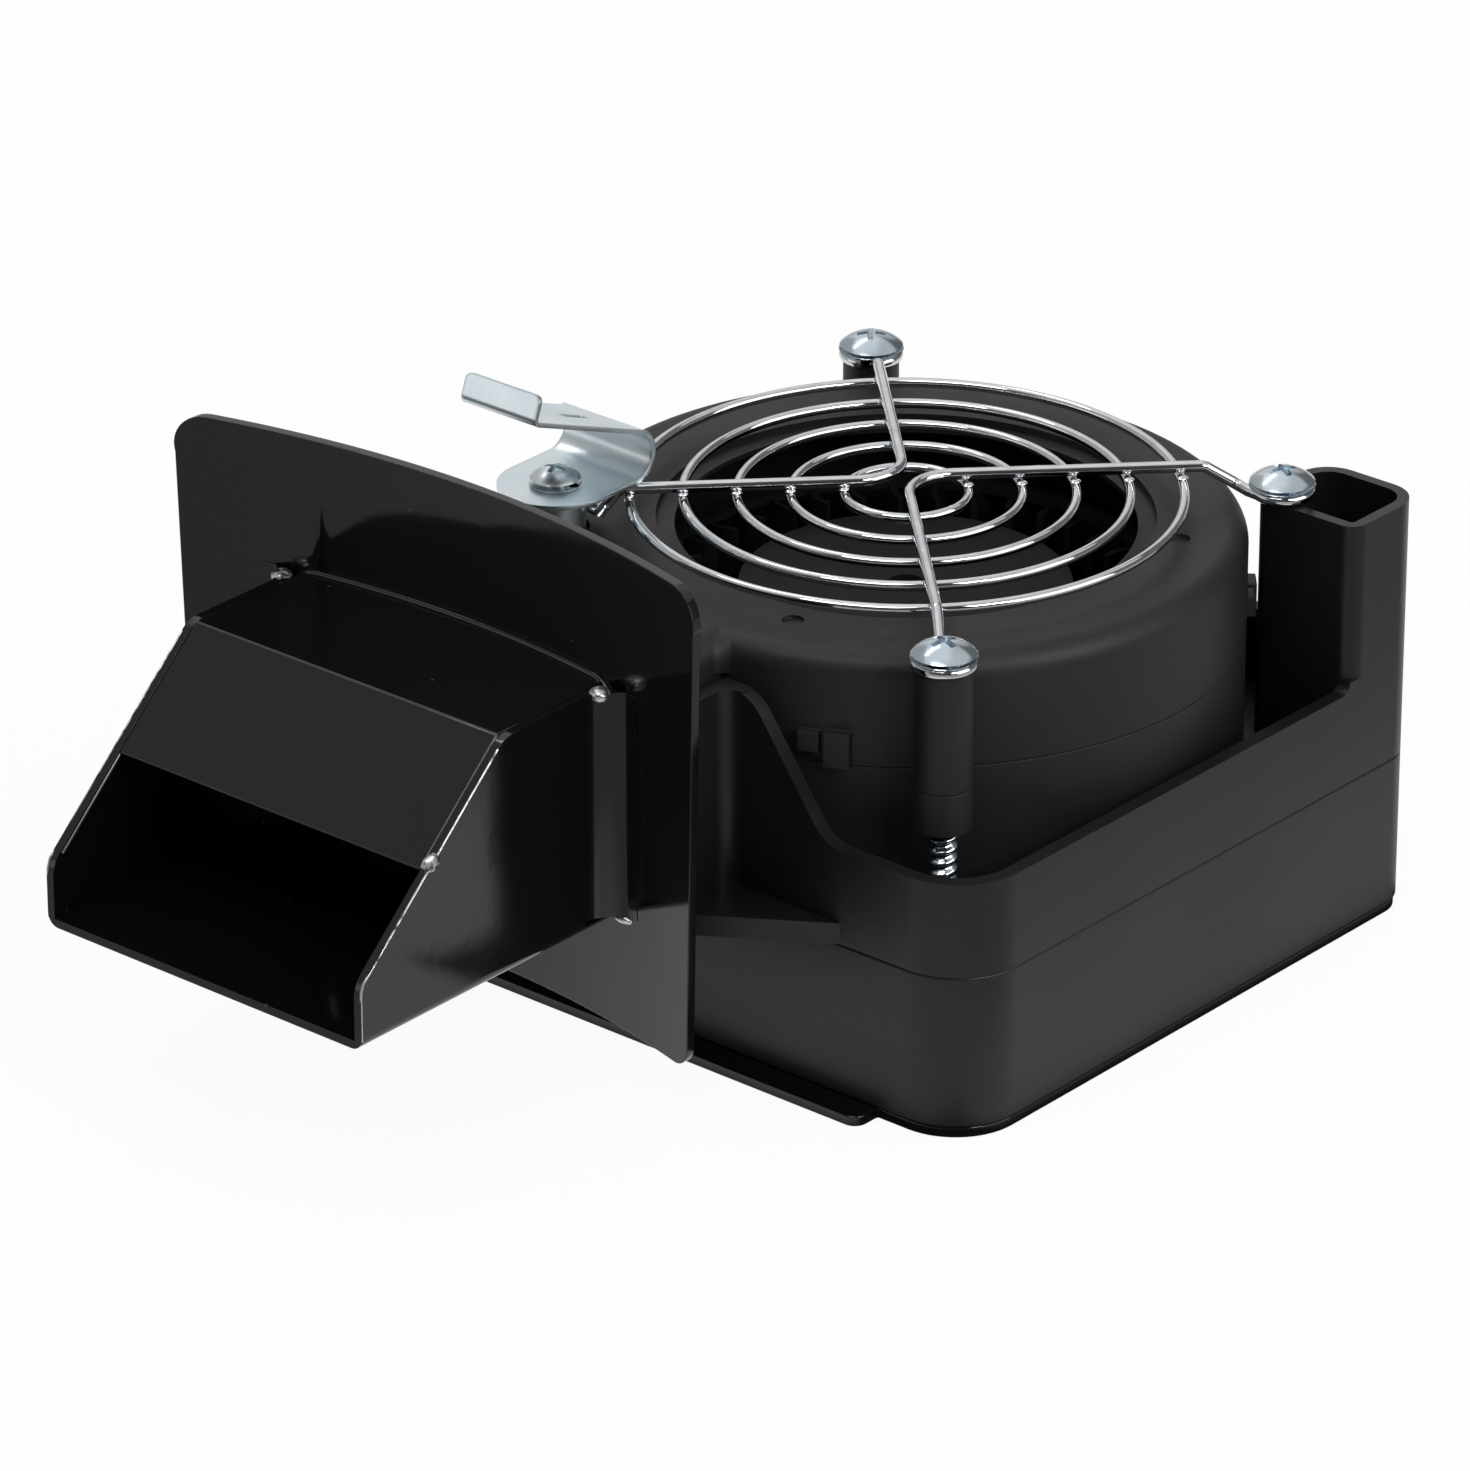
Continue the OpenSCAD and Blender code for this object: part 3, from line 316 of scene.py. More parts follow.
def wire(name, points, diameter, closed=False):
    """A round wire along points in metres, made as a curve and turned into a mesh with closed ends."""
    begin()
    path = bpy.data.curves.new(name, "CURVE")
    path.dimensions = "3D"
    line = path.splines.new("POLY")
    line.points.add(len(points) - 1)
    for point, at in zip(line.points, points):
        point.co = (at[0], at[1], at[2], 1.0)
    line.use_cyclic_u = closed
    path.bevel_depth = diameter * MM / 2
    path.bevel_resolution = 5
    path.use_fill_caps = not closed
    piece = bpy.data.objects.new(name, path)
    bpy.context.scene.collection.objects.link(piece)
    bpy.context.view_layer.objects.active = piece
    piece.select_set(True)
    bpy.ops.object.convert(target="MESH")
    piece = bpy.context.view_layer.objects.active
    bpy.ops.object.mode_set(mode="EDIT")
    bpy.ops.mesh.select_all(action="SELECT")
    bpy.ops.mesh.remove_doubles(threshold=SAME_POINT)
    bpy.ops.mesh.normals_make_consistent(inside=False)
    bpy.ops.object.mode_set(mode="OBJECT")
    bpy.ops.object.shade_smooth_by_angle(angle=math.radians(50))
    return piece


drops = []
for x, y, z, wide, deep, tall in DROPS:
    begin()
    bpy.ops.mesh.primitive_uv_sphere_add(segments=28, ring_count=18, radius=1, location=(0, 0, 0))
    drop = bpy.context.view_layer.objects.active
    bpy.ops.object.mode_set(mode="EDIT")
    bpy.ops.mesh.select_all(action="SELECT")
    bpy.ops.transform.resize(value=(wide * MM, deep * MM, tall * MM))
    bpy.ops.transform.vertex_random(offset=DROP_WOBBLE * MM, uniform=0.0, normal=1.0, seed=3)
    bpy.ops.mesh.vertices_smooth(factor=0.5, repeat=3)
    bpy.ops.transform.translate(value=(x * MM, y * MM, z * MM))
    bpy.ops.object.mode_set(mode="OBJECT")
    drops.append(drop)
runs = []
for side in (1, -1):
    x = ROLL_X + side * RUN_OFF
    runs.append(wire("run", [(x * MM, y * MM, z * MM) for y, z in RUN_PATH], RUN_D))
    x = ROLL_X + side * EDGE_OFF
    drops.append(wire("edge", [(x * MM, y * MM, z * MM) for y, z in EDGE_PATH], EDGE_D))
joint = []
for i in range(-JOINT_STEPS, JOINT_STEPS + 1):
    x = JOINT_HALF * i / JOINT_STEPS
    y = ROLL_Y + math.sqrt(ROLL_R ** 2 - x ** 2) - JOINT_SINK
    z = JOINT_Z - JOINT_DROP * max(abs(x) - JOINT_LEVEL, 0) ** 2
    joint.append(((ROLL_X + x) * MM, y * MM, z * MM))
runs.append(wire("joint", joint, JOINT_D))
weld_runs = joined(runs, "weld_runs")
finish_piece(weld_runs, enamel, "housing")

# Thinly covered weld steel: bright spots of bare steel between patches of enamel, which also stand in for the
# glints on the welds and sharp edges as painted highlight
weld_steel_and_glint, tree = empty_material("thinly_enamelled_weld_and_glint")
place = add(tree, "ShaderNodeTexCoord").outputs["Object"]
patch = add(tree, "ShaderNodeTexNoise", {"Vector": place, "Scale": 1 / (1.6 * MM), "Detail": 3.0})
# The bright metal patches are partly bare steel and partly a painted highlight
bare = add(tree, "ShaderNodeMapRange", {"Value": patch.outputs["Fac"], "From Min": 0.36, "From Max": 0.5})
tint = add(tree, "ShaderNodeMix", {"Factor": bare.outputs["Result"],
                                   6: linear("#1b1b1c"), 7: linear("#d2d2cf")}, data_type="RGBA")
shader = add(tree, "ShaderNodeBsdfPrincipled", {"Base Color": tint.outputs[2],
                                                "Metallic": bare.outputs["Result"], "Roughness": 0.3})
add(tree, "ShaderNodeOutputMaterial", {"Surface": shader.outputs[0]})
weld_drops = joined(drops, "weld_drops")
bpy.ops.object.shade_smooth_by_angle(angle=math.radians(80))
finish_piece(weld_drops, weld_steel_and_glint, "housing")

# Bare rivet steel: dull silver, dimpled by the blows of the rivet set
rivet_steel = mottled("bare_rivet_steel", 0.9, "#7d7f83", "#a3a5a9", {"Metallic": 1.0, "Roughness": 0.36},
                      detail=2.0, relief=0.03)
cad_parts["collar_rivets"].material_slots[0].material = rivet_steel

# Blower halves
# The scroll of the radial blower: a lower half with the motor seat and an upper half with the inlet,
# the lugs and the snap catches, both moulded in matte black glass filled PBT.
# Matte black PBT: the glass fibres leave a dry, fine, even surface that scatters the light widely. The
# grain is drawn coarser than it is, so that it shows.
pbt, tree = empty_material("matte_black_pbt")
place = add(tree, "ShaderNodeTexCoord").outputs["Object"]
grain = add(tree, "ShaderNodeTexNoise", {"Vector": place, "Scale": 1 / (0.6 * MM), "Detail": 4.0,
                                         "Roughness": 0.6})
cloud = add(tree, "ShaderNodeTexNoise", {"Vector": place, "Scale": 1 / (20 * MM), "Detail": 3.0})
tint = add(tree, "ShaderNodeMix", {"Factor": cloud.outputs["Fac"],
                                   6: linear("#101011"), 7: linear("#1c1c1d")}, data_type="RGBA")
dry = add(tree, "ShaderNodeMapRange", {"Value": cloud.outputs["Fac"], "From Min": 0.3, "From Max": 0.7,
                                       "To Min": 0.46, "To Max": 0.58})
bump = add(tree, "ShaderNodeBump", {"Height": grain.outputs["Fac"], "Distance": 0.024 * MM, "Strength": 1.0})
shader = add(tree, "ShaderNodeBsdfPrincipled", {"Base Color": tint.outputs[2],
                                                "Roughness": dry.outputs["Result"],
                                                "Normal": bump.outputs["Normal"], "IOR": 1.53,
                                                "Specular IOR Level": 0.36})
add(tree, "ShaderNodeOutputMaterial", {"Surface": shader.outputs[0]})

PARTING_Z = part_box("blower_base")[1].z
PARTING_GROOVE = 0.2


def parted(piece):
    """Breaks the edges of a blower half along the parting, so that the two meet in a fine groove."""
    bpy.ops.object.mode_set(mode="EDIT")
    bpy.ops.mesh.select_all(action="SELECT")
    bpy.ops.mesh.dissolve_limited(angle_limit=SAME_FLAT)
    bpy.ops.mesh.select_mode(type="EDGE")
    bpy.ops.mesh.select_all(action="DESELECT")
    bpy.ops.mesh.edges_select_sharp(sharpness=math.radians(60))
    bpy.ops.object.mode_set(mode="OBJECT")
    for edge in piece.data.edges:
        ends = [piece.data.vertices[i].co.z for i in edge.vertices]
        edge.select = edge.select and max(abs(z - PARTING_Z) for z in ends) < 0.01 * MM
    bpy.ops.object.mode_set(mode="EDIT")
    bpy.ops.mesh.bevel(offset=PARTING_GROOVE * MM, segments=2, affect="EDGES", clamp_overlap=False)
    bpy.ops.mesh.select_mode(type="VERT")
    bpy.ops.object.mode_set(mode="OBJECT")
    return piece


scroll_floor = softened(parted(copied("blower_base", "scroll_floor")), radius=0.3)
finish_piece(scroll_floor, pbt, "housing", ["blower_base"])
scroll_lid = softened(parted(copied("blower_cover", "scroll_lid")), radius=0.4)
finish_piece(scroll_lid, pbt, "housing", ["blower_cover"])

# Fan wheel and motor
# The wheel is moulded in nylon round a drawn steel cup with a ferrite ring magnet. It turns on a
# ground shaft in two ball bearings in a brass tube, round a wound stator on a ring board.
# Black nylon: dull and a little mottled, coloured darker than the scroll's plastic as painted shade for the
# wheel deep inside the scroll
nylon = mottled("black_nylon_painted_shade", 6, "#0b0b0c", "#131314", {"Roughness": 0.6, "Specular IOR Level": 0.24})
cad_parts["impeller"].material_slots[0].material = nylon

# Drawn and turned steel: grey, mildly mirroring, with fine lines round it
bright_steel = mottled("drawn_bright_steel", 3, "#8d9095", "#b9bcc1", {"Metallic": 1.0},
                       drawn=(1.0, 1.0, 14.0), polish=(0.18, 0.36))
for inner in ("rotor_cup", "motor_shaft", "shaft_clip", "upper_bearing", "lower_bearing", "stator_core"):
    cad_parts[inner].material_slots[0].material = bright_steel

# Sintered ferrite: dark grey and dry, with fine pores
ferrite = mottled("sintered_ferrite", 0.4, "#2b2b2d", "#444447", {"Roughness": 0.7}, detail=4.0)
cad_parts["magnet_ring"].material_slots[0].material = ferrite

# Turned brass: warm yellow, with fine tool lines round it
brass = mottled("turned_brass", 4, "#a8843c", "#c9a75a", {"Metallic": 1.0, "Roughness": 0.28},
                drawn=(1.0, 1.0, 20.0))
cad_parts["bearing_tube"].material_slots[0].material = brass

# Enamelled copper wire: orange brown, lighter on the ridges of its turns and darker between them as painted
# shade, drawn coarser than they are to show
copper, tree = empty_material("enamelled_copper_wire")
place = add(tree, "ShaderNodeTexCoord").outputs["Object"]
turns = add(tree, "ShaderNodeTexWave", {"Vector": place, "Scale": 1 / (2 * MM), "Distortion": 0.6},
            bands_direction="DIAGONAL")
tint = add(tree, "ShaderNodeMix", {"Factor": turns.outputs["Fac"],
                                   6: linear("#7d3f17"), 7: linear("#c9773a")}, data_type="RGBA")
bump = add(tree, "ShaderNodeBump", {"Height": turns.outputs["Fac"], "Distance": 0.1 * MM, "Strength": 1.0})
shader = add(tree, "ShaderNodeBsdfPrincipled", {"Base Color": tint.outputs[2], "Metallic": 1.0,
                                                "Roughness": 0.3, "Normal": bump.outputs["Normal"]})
add(tree, "ShaderNodeOutputMaterial", {"Surface": shader.outputs[0]})
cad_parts["stator_windings"].material_slots[0].material = copper

# Glass epoxy under green lacquer: even, half gloss, with a faint weave
board = mottled("green_glass_epoxy", 1.2, "#24502f", "#346a40", {"Roughness": 0.35}, detail=2.0)
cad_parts["circuit_board"].material_slots[0].material = board

# Guard rings
# Five rings of drawn steel wire, butt welded, then chromium plated with the spokes that are spot welded
# over them. The plating shows the room as a mirror, slightly waved by the wire drawing.
chrome = mottled("chromium_plated_wire", 2.5, "#c4c6c9", "#e9ebed", {"Metallic": 1.0},
                 polish=(0.04, 0.1), relief=0.004)

RING_WIRE = 1.4
RING_RADII = (37.1, 29.9, 22.7, 15.5, 8.3)
RING_STEPS = 160
low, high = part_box("guard_rings")
ring_z = (low.z + high.z) / 2
rings = []
for radius in RING_RADII:
    turn = [2 * math.pi * i / RING_STEPS for i in range(RING_STEPS)]
    points = [(radius * MM * math.cos(a), radius * MM * math.sin(a), ring_z) for a in turn]
    rings.append(wire("ring", points, RING_WIRE, closed=True))
guard_ring_set = joined(rings, "guard_ring_set")
finish_piece(guard_ring_set, chrome, "housing", ["guard_rings"])

# Guard spokes
# Two bent wires that meet back to back at the middle, spot welded on the rings. Their ends step down and are
# curled into eyes under three screw heads, and into an open hook behind the clip spacer.
SPOKE_WIRE = 1.6
SCREW_PITCH = 35.75
CLIP_AT = (-33.2, -33.2)
# An eye or hook: its radius, the dip of the leg in degrees, the flat end before it, and how far it goes round
EYE = (3.7, 32, 2.0, 312)
HOOK = (5.05, 50, 1.2, 176)
STEP_BEND, ENTRY_BEND, MIDDLE_BEND = 1.6, 0.6, 6.5
# The last bend lies this far outside the eye, and the eye starts this many degrees past the leg
ENTRY_OFF, EYE_START = 0.9, 24
EYE_STEPS = 36
# The wire's middle above the lowest and below the highest point of the piece
EYE_RISE, SPOKE_DROP = 0.85, 0.89
low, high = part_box("guard_spokes")
eye_z = low.z / MM + EYE_RISE
spoke_z = high.z / MM - SPOKE_DROP


def rounded(corners, steps=9):
    """Points along a path of (x, y, z, bend radius) corners in mm, each turned by an arc of its radius."""
    path = [Vector(corners[0][:3])]
    for before, corner, after in zip(corners, corners[1:], corners[2:]):
        at = Vector(corner[:3])
        way_in = (Vector(before[:3]) - at).normalized()
        way_out = (Vector(after[:3]) - at).normalized()
        half = way_in.angle(way_out) / 2
        reach = corner[3] / math.tan(half)
        middle = at + (way_in + way_out).normalized() * corner[3] / math.sin(half)
        start = at + way_in * reach - middle
        turn = math.pi - 2 * half
        axis = start.cross(at + way_out * reach - middle).normalized()
        for i in range(steps + 1):
            path.append(middle + Matrix.Rotation(turn * i / steps, 3, axis) @ start)
    path.append(Vector(corners[-1][:3]))
    return path


def leg(corner, heading, eye, eye_radius, dip, end):
    """The two corners where a leg steps down from the level of the spokes to that of the eyes."""
    way = Vector((math.cos(heading), math.sin(heading)))
    along = (Vector(eye) - Vector(corner)).dot(way)
    reach = along - eye_radius
    run = (spoke_z - eye_z) / math.tan(dip)
    knee = Vector(corner) + way * (reach - end - run)
    foot = Vector(corner) + way * (reach - end)
    return [(knee.x, knee.y, spoke_z, STEP_BEND), (foot.x, foot.y, eye_z, STEP_BEND)]


def curl(eye, eye_radius, start, sweep):
    """Corners round an eye at a radius, from a bearing through a sweep in degrees."""
    turn = [math.radians(start + sweep * i / EYE_STEPS) for i in range(EYE_STEPS + 1)]
    return [(eye[0] + eye_radius * math.cos(a), eye[1] + eye_radius * math.sin(a), eye_z) for a in turn]


def spoke(name, corner, headings, ends):
    """One wire: an eye, a leg in, the middle bend, a leg out and the other eye."""
    paths = []
    for heading, (eye, eye_radius, dip, end, sweep) in zip(headings, ends):
        way = math.radians(heading)
        steps = leg(corner, way, eye, eye_radius, math.radians(dip), end)
        back = heading + 180
        entry = (eye[0] + (eye_radius + ENTRY_OFF) * math.cos(math.radians(back)),
                 eye[1] + (eye_radius + ENTRY_OFF) * math.sin(math.radians(back)), eye_z, ENTRY_BEND)
        paths.append((steps, entry, curl(eye, eye_radius, back + EYE_START, sweep)))
    (steps_a, entry_a, eye_a), (steps_b, entry_b, eye_b) = paths
    middle_bend = (corner[0], corner[1], spoke_z, MIDDLE_BEND)
    corners = ([eye_a[0] + (0,), entry_a] + steps_a[::-1] + [middle_bend]
               + steps_b + [entry_b, eye_b[0] + (0,)])
    middle = rounded(corners)
    points = [Vector(p) for p in eye_a[::-1]] + middle[1:-1] + [Vector(p) for p in eye_b]
    return wire(name, [p * MM for p in points], SPOKE_WIRE)


spoke_left = spoke("spoke_left", (-0.6, 0.6), (225, 135),
                   ((CLIP_AT, *HOOK), ((-SCREW_PITCH, SCREW_PITCH), *EYE)))
spoke_right = spoke("spoke_right", (-1.5, 1.5), (45, -45),
                    (((SCREW_PITCH, SCREW_PITCH), *EYE), ((SCREW_PITCH, -SCREW_PITCH), *EYE)))
# Spot welds: a pressed out nugget where each leg crosses each ring
NUGGET_R = 0.66
NUGGET_SHAPE = (1.35, 1.0, 0.55)
NUGGET_TURN = 35
nuggets = []
for radius in RING_RADII:
    for bearing in (45, 135, 225, 315):
        begin()
        bpy.ops.mesh.primitive_uv_sphere_add(segments=12, ring_count=8, radius=NUGGET_R * MM,
                                             location=(0, 0, 0))
        nugget = bpy.context.view_layer.objects.active
        bpy.ops.object.mode_set(mode="EDIT")
        bpy.ops.mesh.select_all(action="SELECT")
        bpy.ops.transform.resize(value=NUGGET_SHAPE)
        bpy.ops.object.mode_set(mode="OBJECT")
        nugget.rotation_euler = (0, 0, math.radians(bearing + NUGGET_TURN))
        nugget.location = (radius * MM * math.cos(math.radians(bearing)),
                           radius * MM * math.sin(math.radians(bearing)), (ring_z + spoke_z * MM) / 2)
        bpy.ops.object.transform_apply(location=True, rotation=True, scale=True)
        bpy.ops.object.shade_smooth_by_angle(angle=math.radians(60))
        nuggets.append(nugget)
guard_spoke_pair = joined([spoke_left, spoke_right] + nuggets, "guard_spoke_pair")
finish_piece(guard_spoke_pair, chrome, "housing", ["guard_spokes"])

# Guard screws
# Three long sheet metal screws with wide domed heads and a cross recess, cold headed and thread rolled
# from steel wire, zinc plated with a blue passivation.
# Blue zinc plate: bright, a little milky, with a blue cast that shifts softly over the surface.
zinc, tree = empty_material("blue_zinc_plate")
place = add(tree, "ShaderNodeTexCoord").outputs["Object"]
drift = add(tree, "ShaderNodeTexNoise", {"Vector": place, "Scale": 1 / (5 * MM), "Detail": 2.0})
grit = add(tree, "ShaderNodeTexNoise", {"Vector": place, "Scale": 1 / (0.5 * MM), "Detail": 3.0})
tint = add(tree, "ShaderNodeMix", {"Factor": drift.outputs["Fac"],
                                   6: linear("#a9bccb"), 7: linear("#dfe4e6")}, data_type="RGBA")
milky = add(tree, "ShaderNodeMapRange", {"Value": grit.outputs["Fac"], "To Min": 0.14, "To Max": 0.24})
bump = add(tree, "ShaderNodeBump", {"Height": grit.outputs["Fac"], "Distance": 0.002 * MM, "Strength": 1.0})
shader = add(tree, "ShaderNodeBsdfPrincipled", {"Base Color": tint.outputs[2], "Metallic": 1.0,
                                                "Roughness": milky.outputs["Result"],
                                                "Normal": bump.outputs["Normal"]})
add(tree, "ShaderNodeOutputMaterial", {"Surface": shader.outputs[0]})

HEAD_EDGE = 0.16
# The cross recess as shares of the head: the width and reach of a wing, the depth, and the width at its tip
WING_W, WING_REACH, RECESS_DEPTH, RECESS_TIP = 0.17, 0.38, 0.75, 0.3
# The radius of the core as a share of the thread's width, where the point begins, and the width at its end
CORE, POINT_FROM, POINT_W = 0.35, 0.9, 0.7
SHANK_LET_IN = 0.3
# The ridge of the thread: its share of the pitch, how far its root is sunk, and how far its crest falls short
RIDGE, ROOT_SUNK, CREST_SHORT = 0.96, 0.15, 0.02
RIDGE_POINTS = 12
PLAIN_END = 2


def chosen(piece, kind, test):
    """Goes into edit mode with only those points or faces of a piece selected that pass a test."""
    bpy.ops.object.mode_set(mode="EDIT")
    bpy.ops.mesh.select_mode(type=kind)
    bpy.ops.mesh.select_all(action="DESELECT")
    bpy.ops.object.mode_set(mode="OBJECT")
    for element in piece.data.vertices if kind == "VERT" else piece.data.polygons:
        element.select = test(element)
    bpy.ops.object.mode_set(mode="EDIT")


def screw_head(head_d, head_h, rim):
    """The dome of a head, cut from a ball, over its seat at zero. The wall of the rim between is open."""
    begin()
    dome = head_h - rim
    ball = (head_d ** 2 / 4 + dome ** 2) / (2 * dome)
    bpy.ops.mesh.primitive_uv_sphere_add(segments=72, ring_count=120, radius=ball * MM, location=(0, 0, 0))
    head = bpy.context.view_layer.objects.active
    bpy.ops.object.mode_set(mode="EDIT")
    bpy.ops.mesh.bisect(plane_co=(0, 0, (ball - dome) * MM), plane_no=(0, 0, 1),
                        use_fill=True, clear_inner=True)
    bpy.ops.mesh.extrude_region_move(TRANSFORM_OT_translate={"value": (0, 0, -rim * MM)})
    bpy.ops.mesh.select_all(action="SELECT")
    bpy.ops.transform.translate(value=(0, 0, (head_h - ball) * MM))
    bpy.ops.object.mode_set(mode="OBJECT")
    edge = head.modifiers.new("edge", "BEVEL")
    edge.width = HEAD_EDGE * MM
    edge.segments = 3
    edge.limit_method = "ANGLE"
    edge.angle_limit = math.radians(30)
    bpy.ops.object.modifier_apply(modifier="edge")
    return head


def cross_recess(head, head_d, head_h, turn):
    """Sinks a plus shaped punch into a head: wings drawn out of a square block and narrowed to the tip."""
    begin()
    wing, depth = head_d * WING_W, head_h * RECESS_DEPTH
    bpy.ops.mesh.primitive_cube_add(size=wing * MM, location=(0, 0, 0))
    punch = bpy.context.view_layer.objects.active
    bpy.ops.object.mode_set(mode="EDIT")
    bpy.ops.transform.resize(value=(1, 1, 2 * depth / wing))
    chosen(punch, "FACE", lambda face: abs(face.normal.z) < 0.5)
    reach = head_d * WING_REACH - wing / 2
    bpy.ops.mesh.extrude_faces_move(TRANSFORM_OT_shrink_fatten={"value": reach * MM})
    chosen(punch, "VERT", lambda vertex: vertex.co.z < 0)
    bpy.ops.transform.resize(value=(RECESS_TIP, RECESS_TIP, 1), center_override=(0, 0, 0))
    bpy.ops.object.mode_set(mode="OBJECT")
    punch.location = (0, 0, head_h * MM)
    punch.rotation_euler = (0, 0, math.radians(turn))
    bpy.ops.object.transform_apply(location=True, rotation=True, scale=True)
    begin()
    bpy.context.view_layer.objects.active = head
    head.select_set(True)
    cut = head.modifiers.new("recess", "BOOLEAN")
    cut.object = punch
    cut.solver = "EXACT"
    bpy.ops.object.modifier_apply(modifier="recess")
    bpy.data.objects.remove(punch)


def screw_shank(core, length):
    """The core of a screw with its narrowed point, let a little way into the head."""
    begin()
    bpy.ops.mesh.primitive_cylinder_add(vertices=48, radius=core * MM, depth=length * MM,
                                        location=(0, 0, -length / 2 * MM))
    shank = bpy.context.view_layer.objects.active
    bpy.ops.object.transform_apply(location=True)
    chosen(shank, "VERT", lambda vertex: vertex.co.z < -length * POINT_FROM * MM)
    bpy.ops.transform.resize(value=(POINT_W, POINT_W, 1))
    bpy.ops.mesh.select_all(action="INVERT")
    bpy.ops.transform.translate(value=(0, 0, SHANK_LET_IN * MM))
    bpy.ops.object.mode_set(mode="OBJECT")
    return shank


def screw_thread(core, shank_d, length, pitch):
    """The rolled thread: the section of a rounded ridge, wound round the core and closed at its ends."""
    begin()
    bpy.ops.mesh.primitive_circle_add(vertices=RIDGE_POINTS + 2, radius=1, fill_type="NOTHING",
                                      location=(0, 0, 0))
    thread = bpy.context.view_layer.objects.active
    crest = shank_d / 2 - CREST_SHORT
    section = [(core - ROOT_SUNK, -RIDGE / 2 * pitch)]
    for i in range(RIDGE_POINTS):
        z = (i / (RIDGE_POINTS - 1) - 0.5) * RIDGE
        section.append((core + (crest - core) * (0.5 + 0.5 * math.cos(2 * math.pi * z)), z * pitch))
    section.append((core - ROOT_SUNK, RIDGE / 2 * pitch))
    for vertex, (r, z) in zip(thread.data.vertices, section):
        vertex.co = (r * MM, 0, (z - length + PLAIN_END) * MM)
    winding = thread.modifiers.new("winding", "SCREW")
    winding.axis = "Z"
    winding.angle = 2 * math.pi
    winding.screw_offset = pitch * MM
    winding.iterations = int((length - 2 * PLAIN_END) / pitch)
    winding.steps = 40
    winding.render_steps = 40
    winding.use_merge_vertices = False
    bpy.ops.object.modifier_apply(modifier="winding")
    bpy.ops.object.mode_set(mode="EDIT")
    bpy.ops.mesh.select_mode(type="EDGE")
    bpy.ops.mesh.select_all(action="DESELECT")
    bpy.ops.mesh.select_non_manifold()
    bpy.ops.mesh.edge_face_add()
    bpy.ops.mesh.select_mode(type="VERT")
    bpy.ops.mesh.select_all(action="SELECT")
    bpy.ops.mesh.normals_make_consistent(inside=False)
    bpy.ops.object.mode_set(mode="OBJECT")
    return thread


def domed_screw(name, at, seat_z, head_d, head_h, rim, shank_d, length, pitch, turn):
    """A screw with a domed cross recess head over a low rim and a rolled thread, sizes in mm."""
    core = shank_d * CORE
    head = screw_head(head_d, head_h, rim)
    cross_recess(head, head_d, head_h, turn)
    shank = screw_shank(core, length)
    thread = screw_thread(core, shank_d, length, pitch)
    screw = joined([head, shank, thread], name)
    screw.location = (at[0] * MM, at[1] * MM, seat_z * MM)
    bpy.ops.object.transform_apply(location=True)
    bpy.ops.object.shade_smooth_by_angle(angle=math.radians(32))
    return screw


GUARD_HEAD_H = 2.3
GUARD_SEAT_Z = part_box("guard_screws")[1].z / MM - GUARD_HEAD_H
for corner, at, turn in (("front_right", (SCREW_PITCH, -SCREW_PITCH), 77),
                         ("rear_right", (SCREW_PITCH, SCREW_PITCH), 65),
                         ("rear_left", (-SCREW_PITCH, SCREW_PITCH), 40)):
    screw = domed_screw("guard_screw_" + corner, at, GUARD_SEAT_Z, head_d=9.0, head_h=GUARD_HEAD_H, rim=0.45,
                        shank_d=4.2, length=42, pitch=1.6, turn=turn)
    finish_piece(screw, zinc, "housing", ["guard_screws"])

# Spring clip with its spacer and screw
# A strip of spring steel, blanked, pierced and bent to a C with a turned up end, zinc plated. A pan head
# screw holds its round end on a turned spacer, and the arm springs against the grill wall.
# Zinc plated strip: pale and milky with a slight blue cast, and fine rolling lines along it.
strip_zinc, tree = empty_material("zinc_plated_spring_strip")
place = add(tree, "ShaderNodeTexCoord").outputs["Object"]
drift = add(tree, "ShaderNodeTexNoise", {"Vector": place, "Scale": 1 / (9 * MM), "Detail": 2.0})
rolled = add(tree, "ShaderNodeMapping", {"Vector": place, "Scale": (9.0, 1.0, 1.0)})
lines = add(tree, "ShaderNodeTexNoise", {"Vector": rolled.outputs[0], "Scale": 1 / (3 * MM), "Detail": 3.0})
tint = add(tree, "ShaderNodeMix", {"Factor": drift.outputs["Fac"],
                                   6: linear("#cfdee6"), 7: linear("#f0f5f7")}, data_type="RGBA")
milky = add(tree, "ShaderNodeMapRange", {"Value": lines.outputs["Fac"], "To Min": 0.26, "To Max": 0.36})
bump = add(tree, "ShaderNodeBump", {"Height": lines.outputs["Fac"], "Distance": 0.0015 * MM, "Strength": 1.0})
shader = add(tree, "ShaderNodeBsdfPrincipled", {"Base Color": tint.outputs[2], "Metallic": 1.0,
                                                "Roughness": milky.outputs["Result"],
                                                "Normal": bump.outputs["Normal"]})
add(tree, "ShaderNodeOutputMaterial", {"Surface": shader.outputs[0]})

clip_bush = softened(copied("clip_spacer", "clip_bush"), radius=0.25)
finish_piece(clip_bush, strip_zinc, "housing", ["clip_spacer"])
CLIP_HEAD_H = 2.4
TONGUE_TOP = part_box("clip_screw")[1].z / MM - CLIP_HEAD_H
clip_fixing = domed_screw("clip_fixing", CLIP_AT, TONGUE_TOP, head_d=7, head_h=CLIP_HEAD_H, rim=0.8,
                          shank_d=3.5, length=14, pitch=1.3, turn=12)
finish_piece(clip_fixing, strip_zinc, "housing", ["clip_screw"])

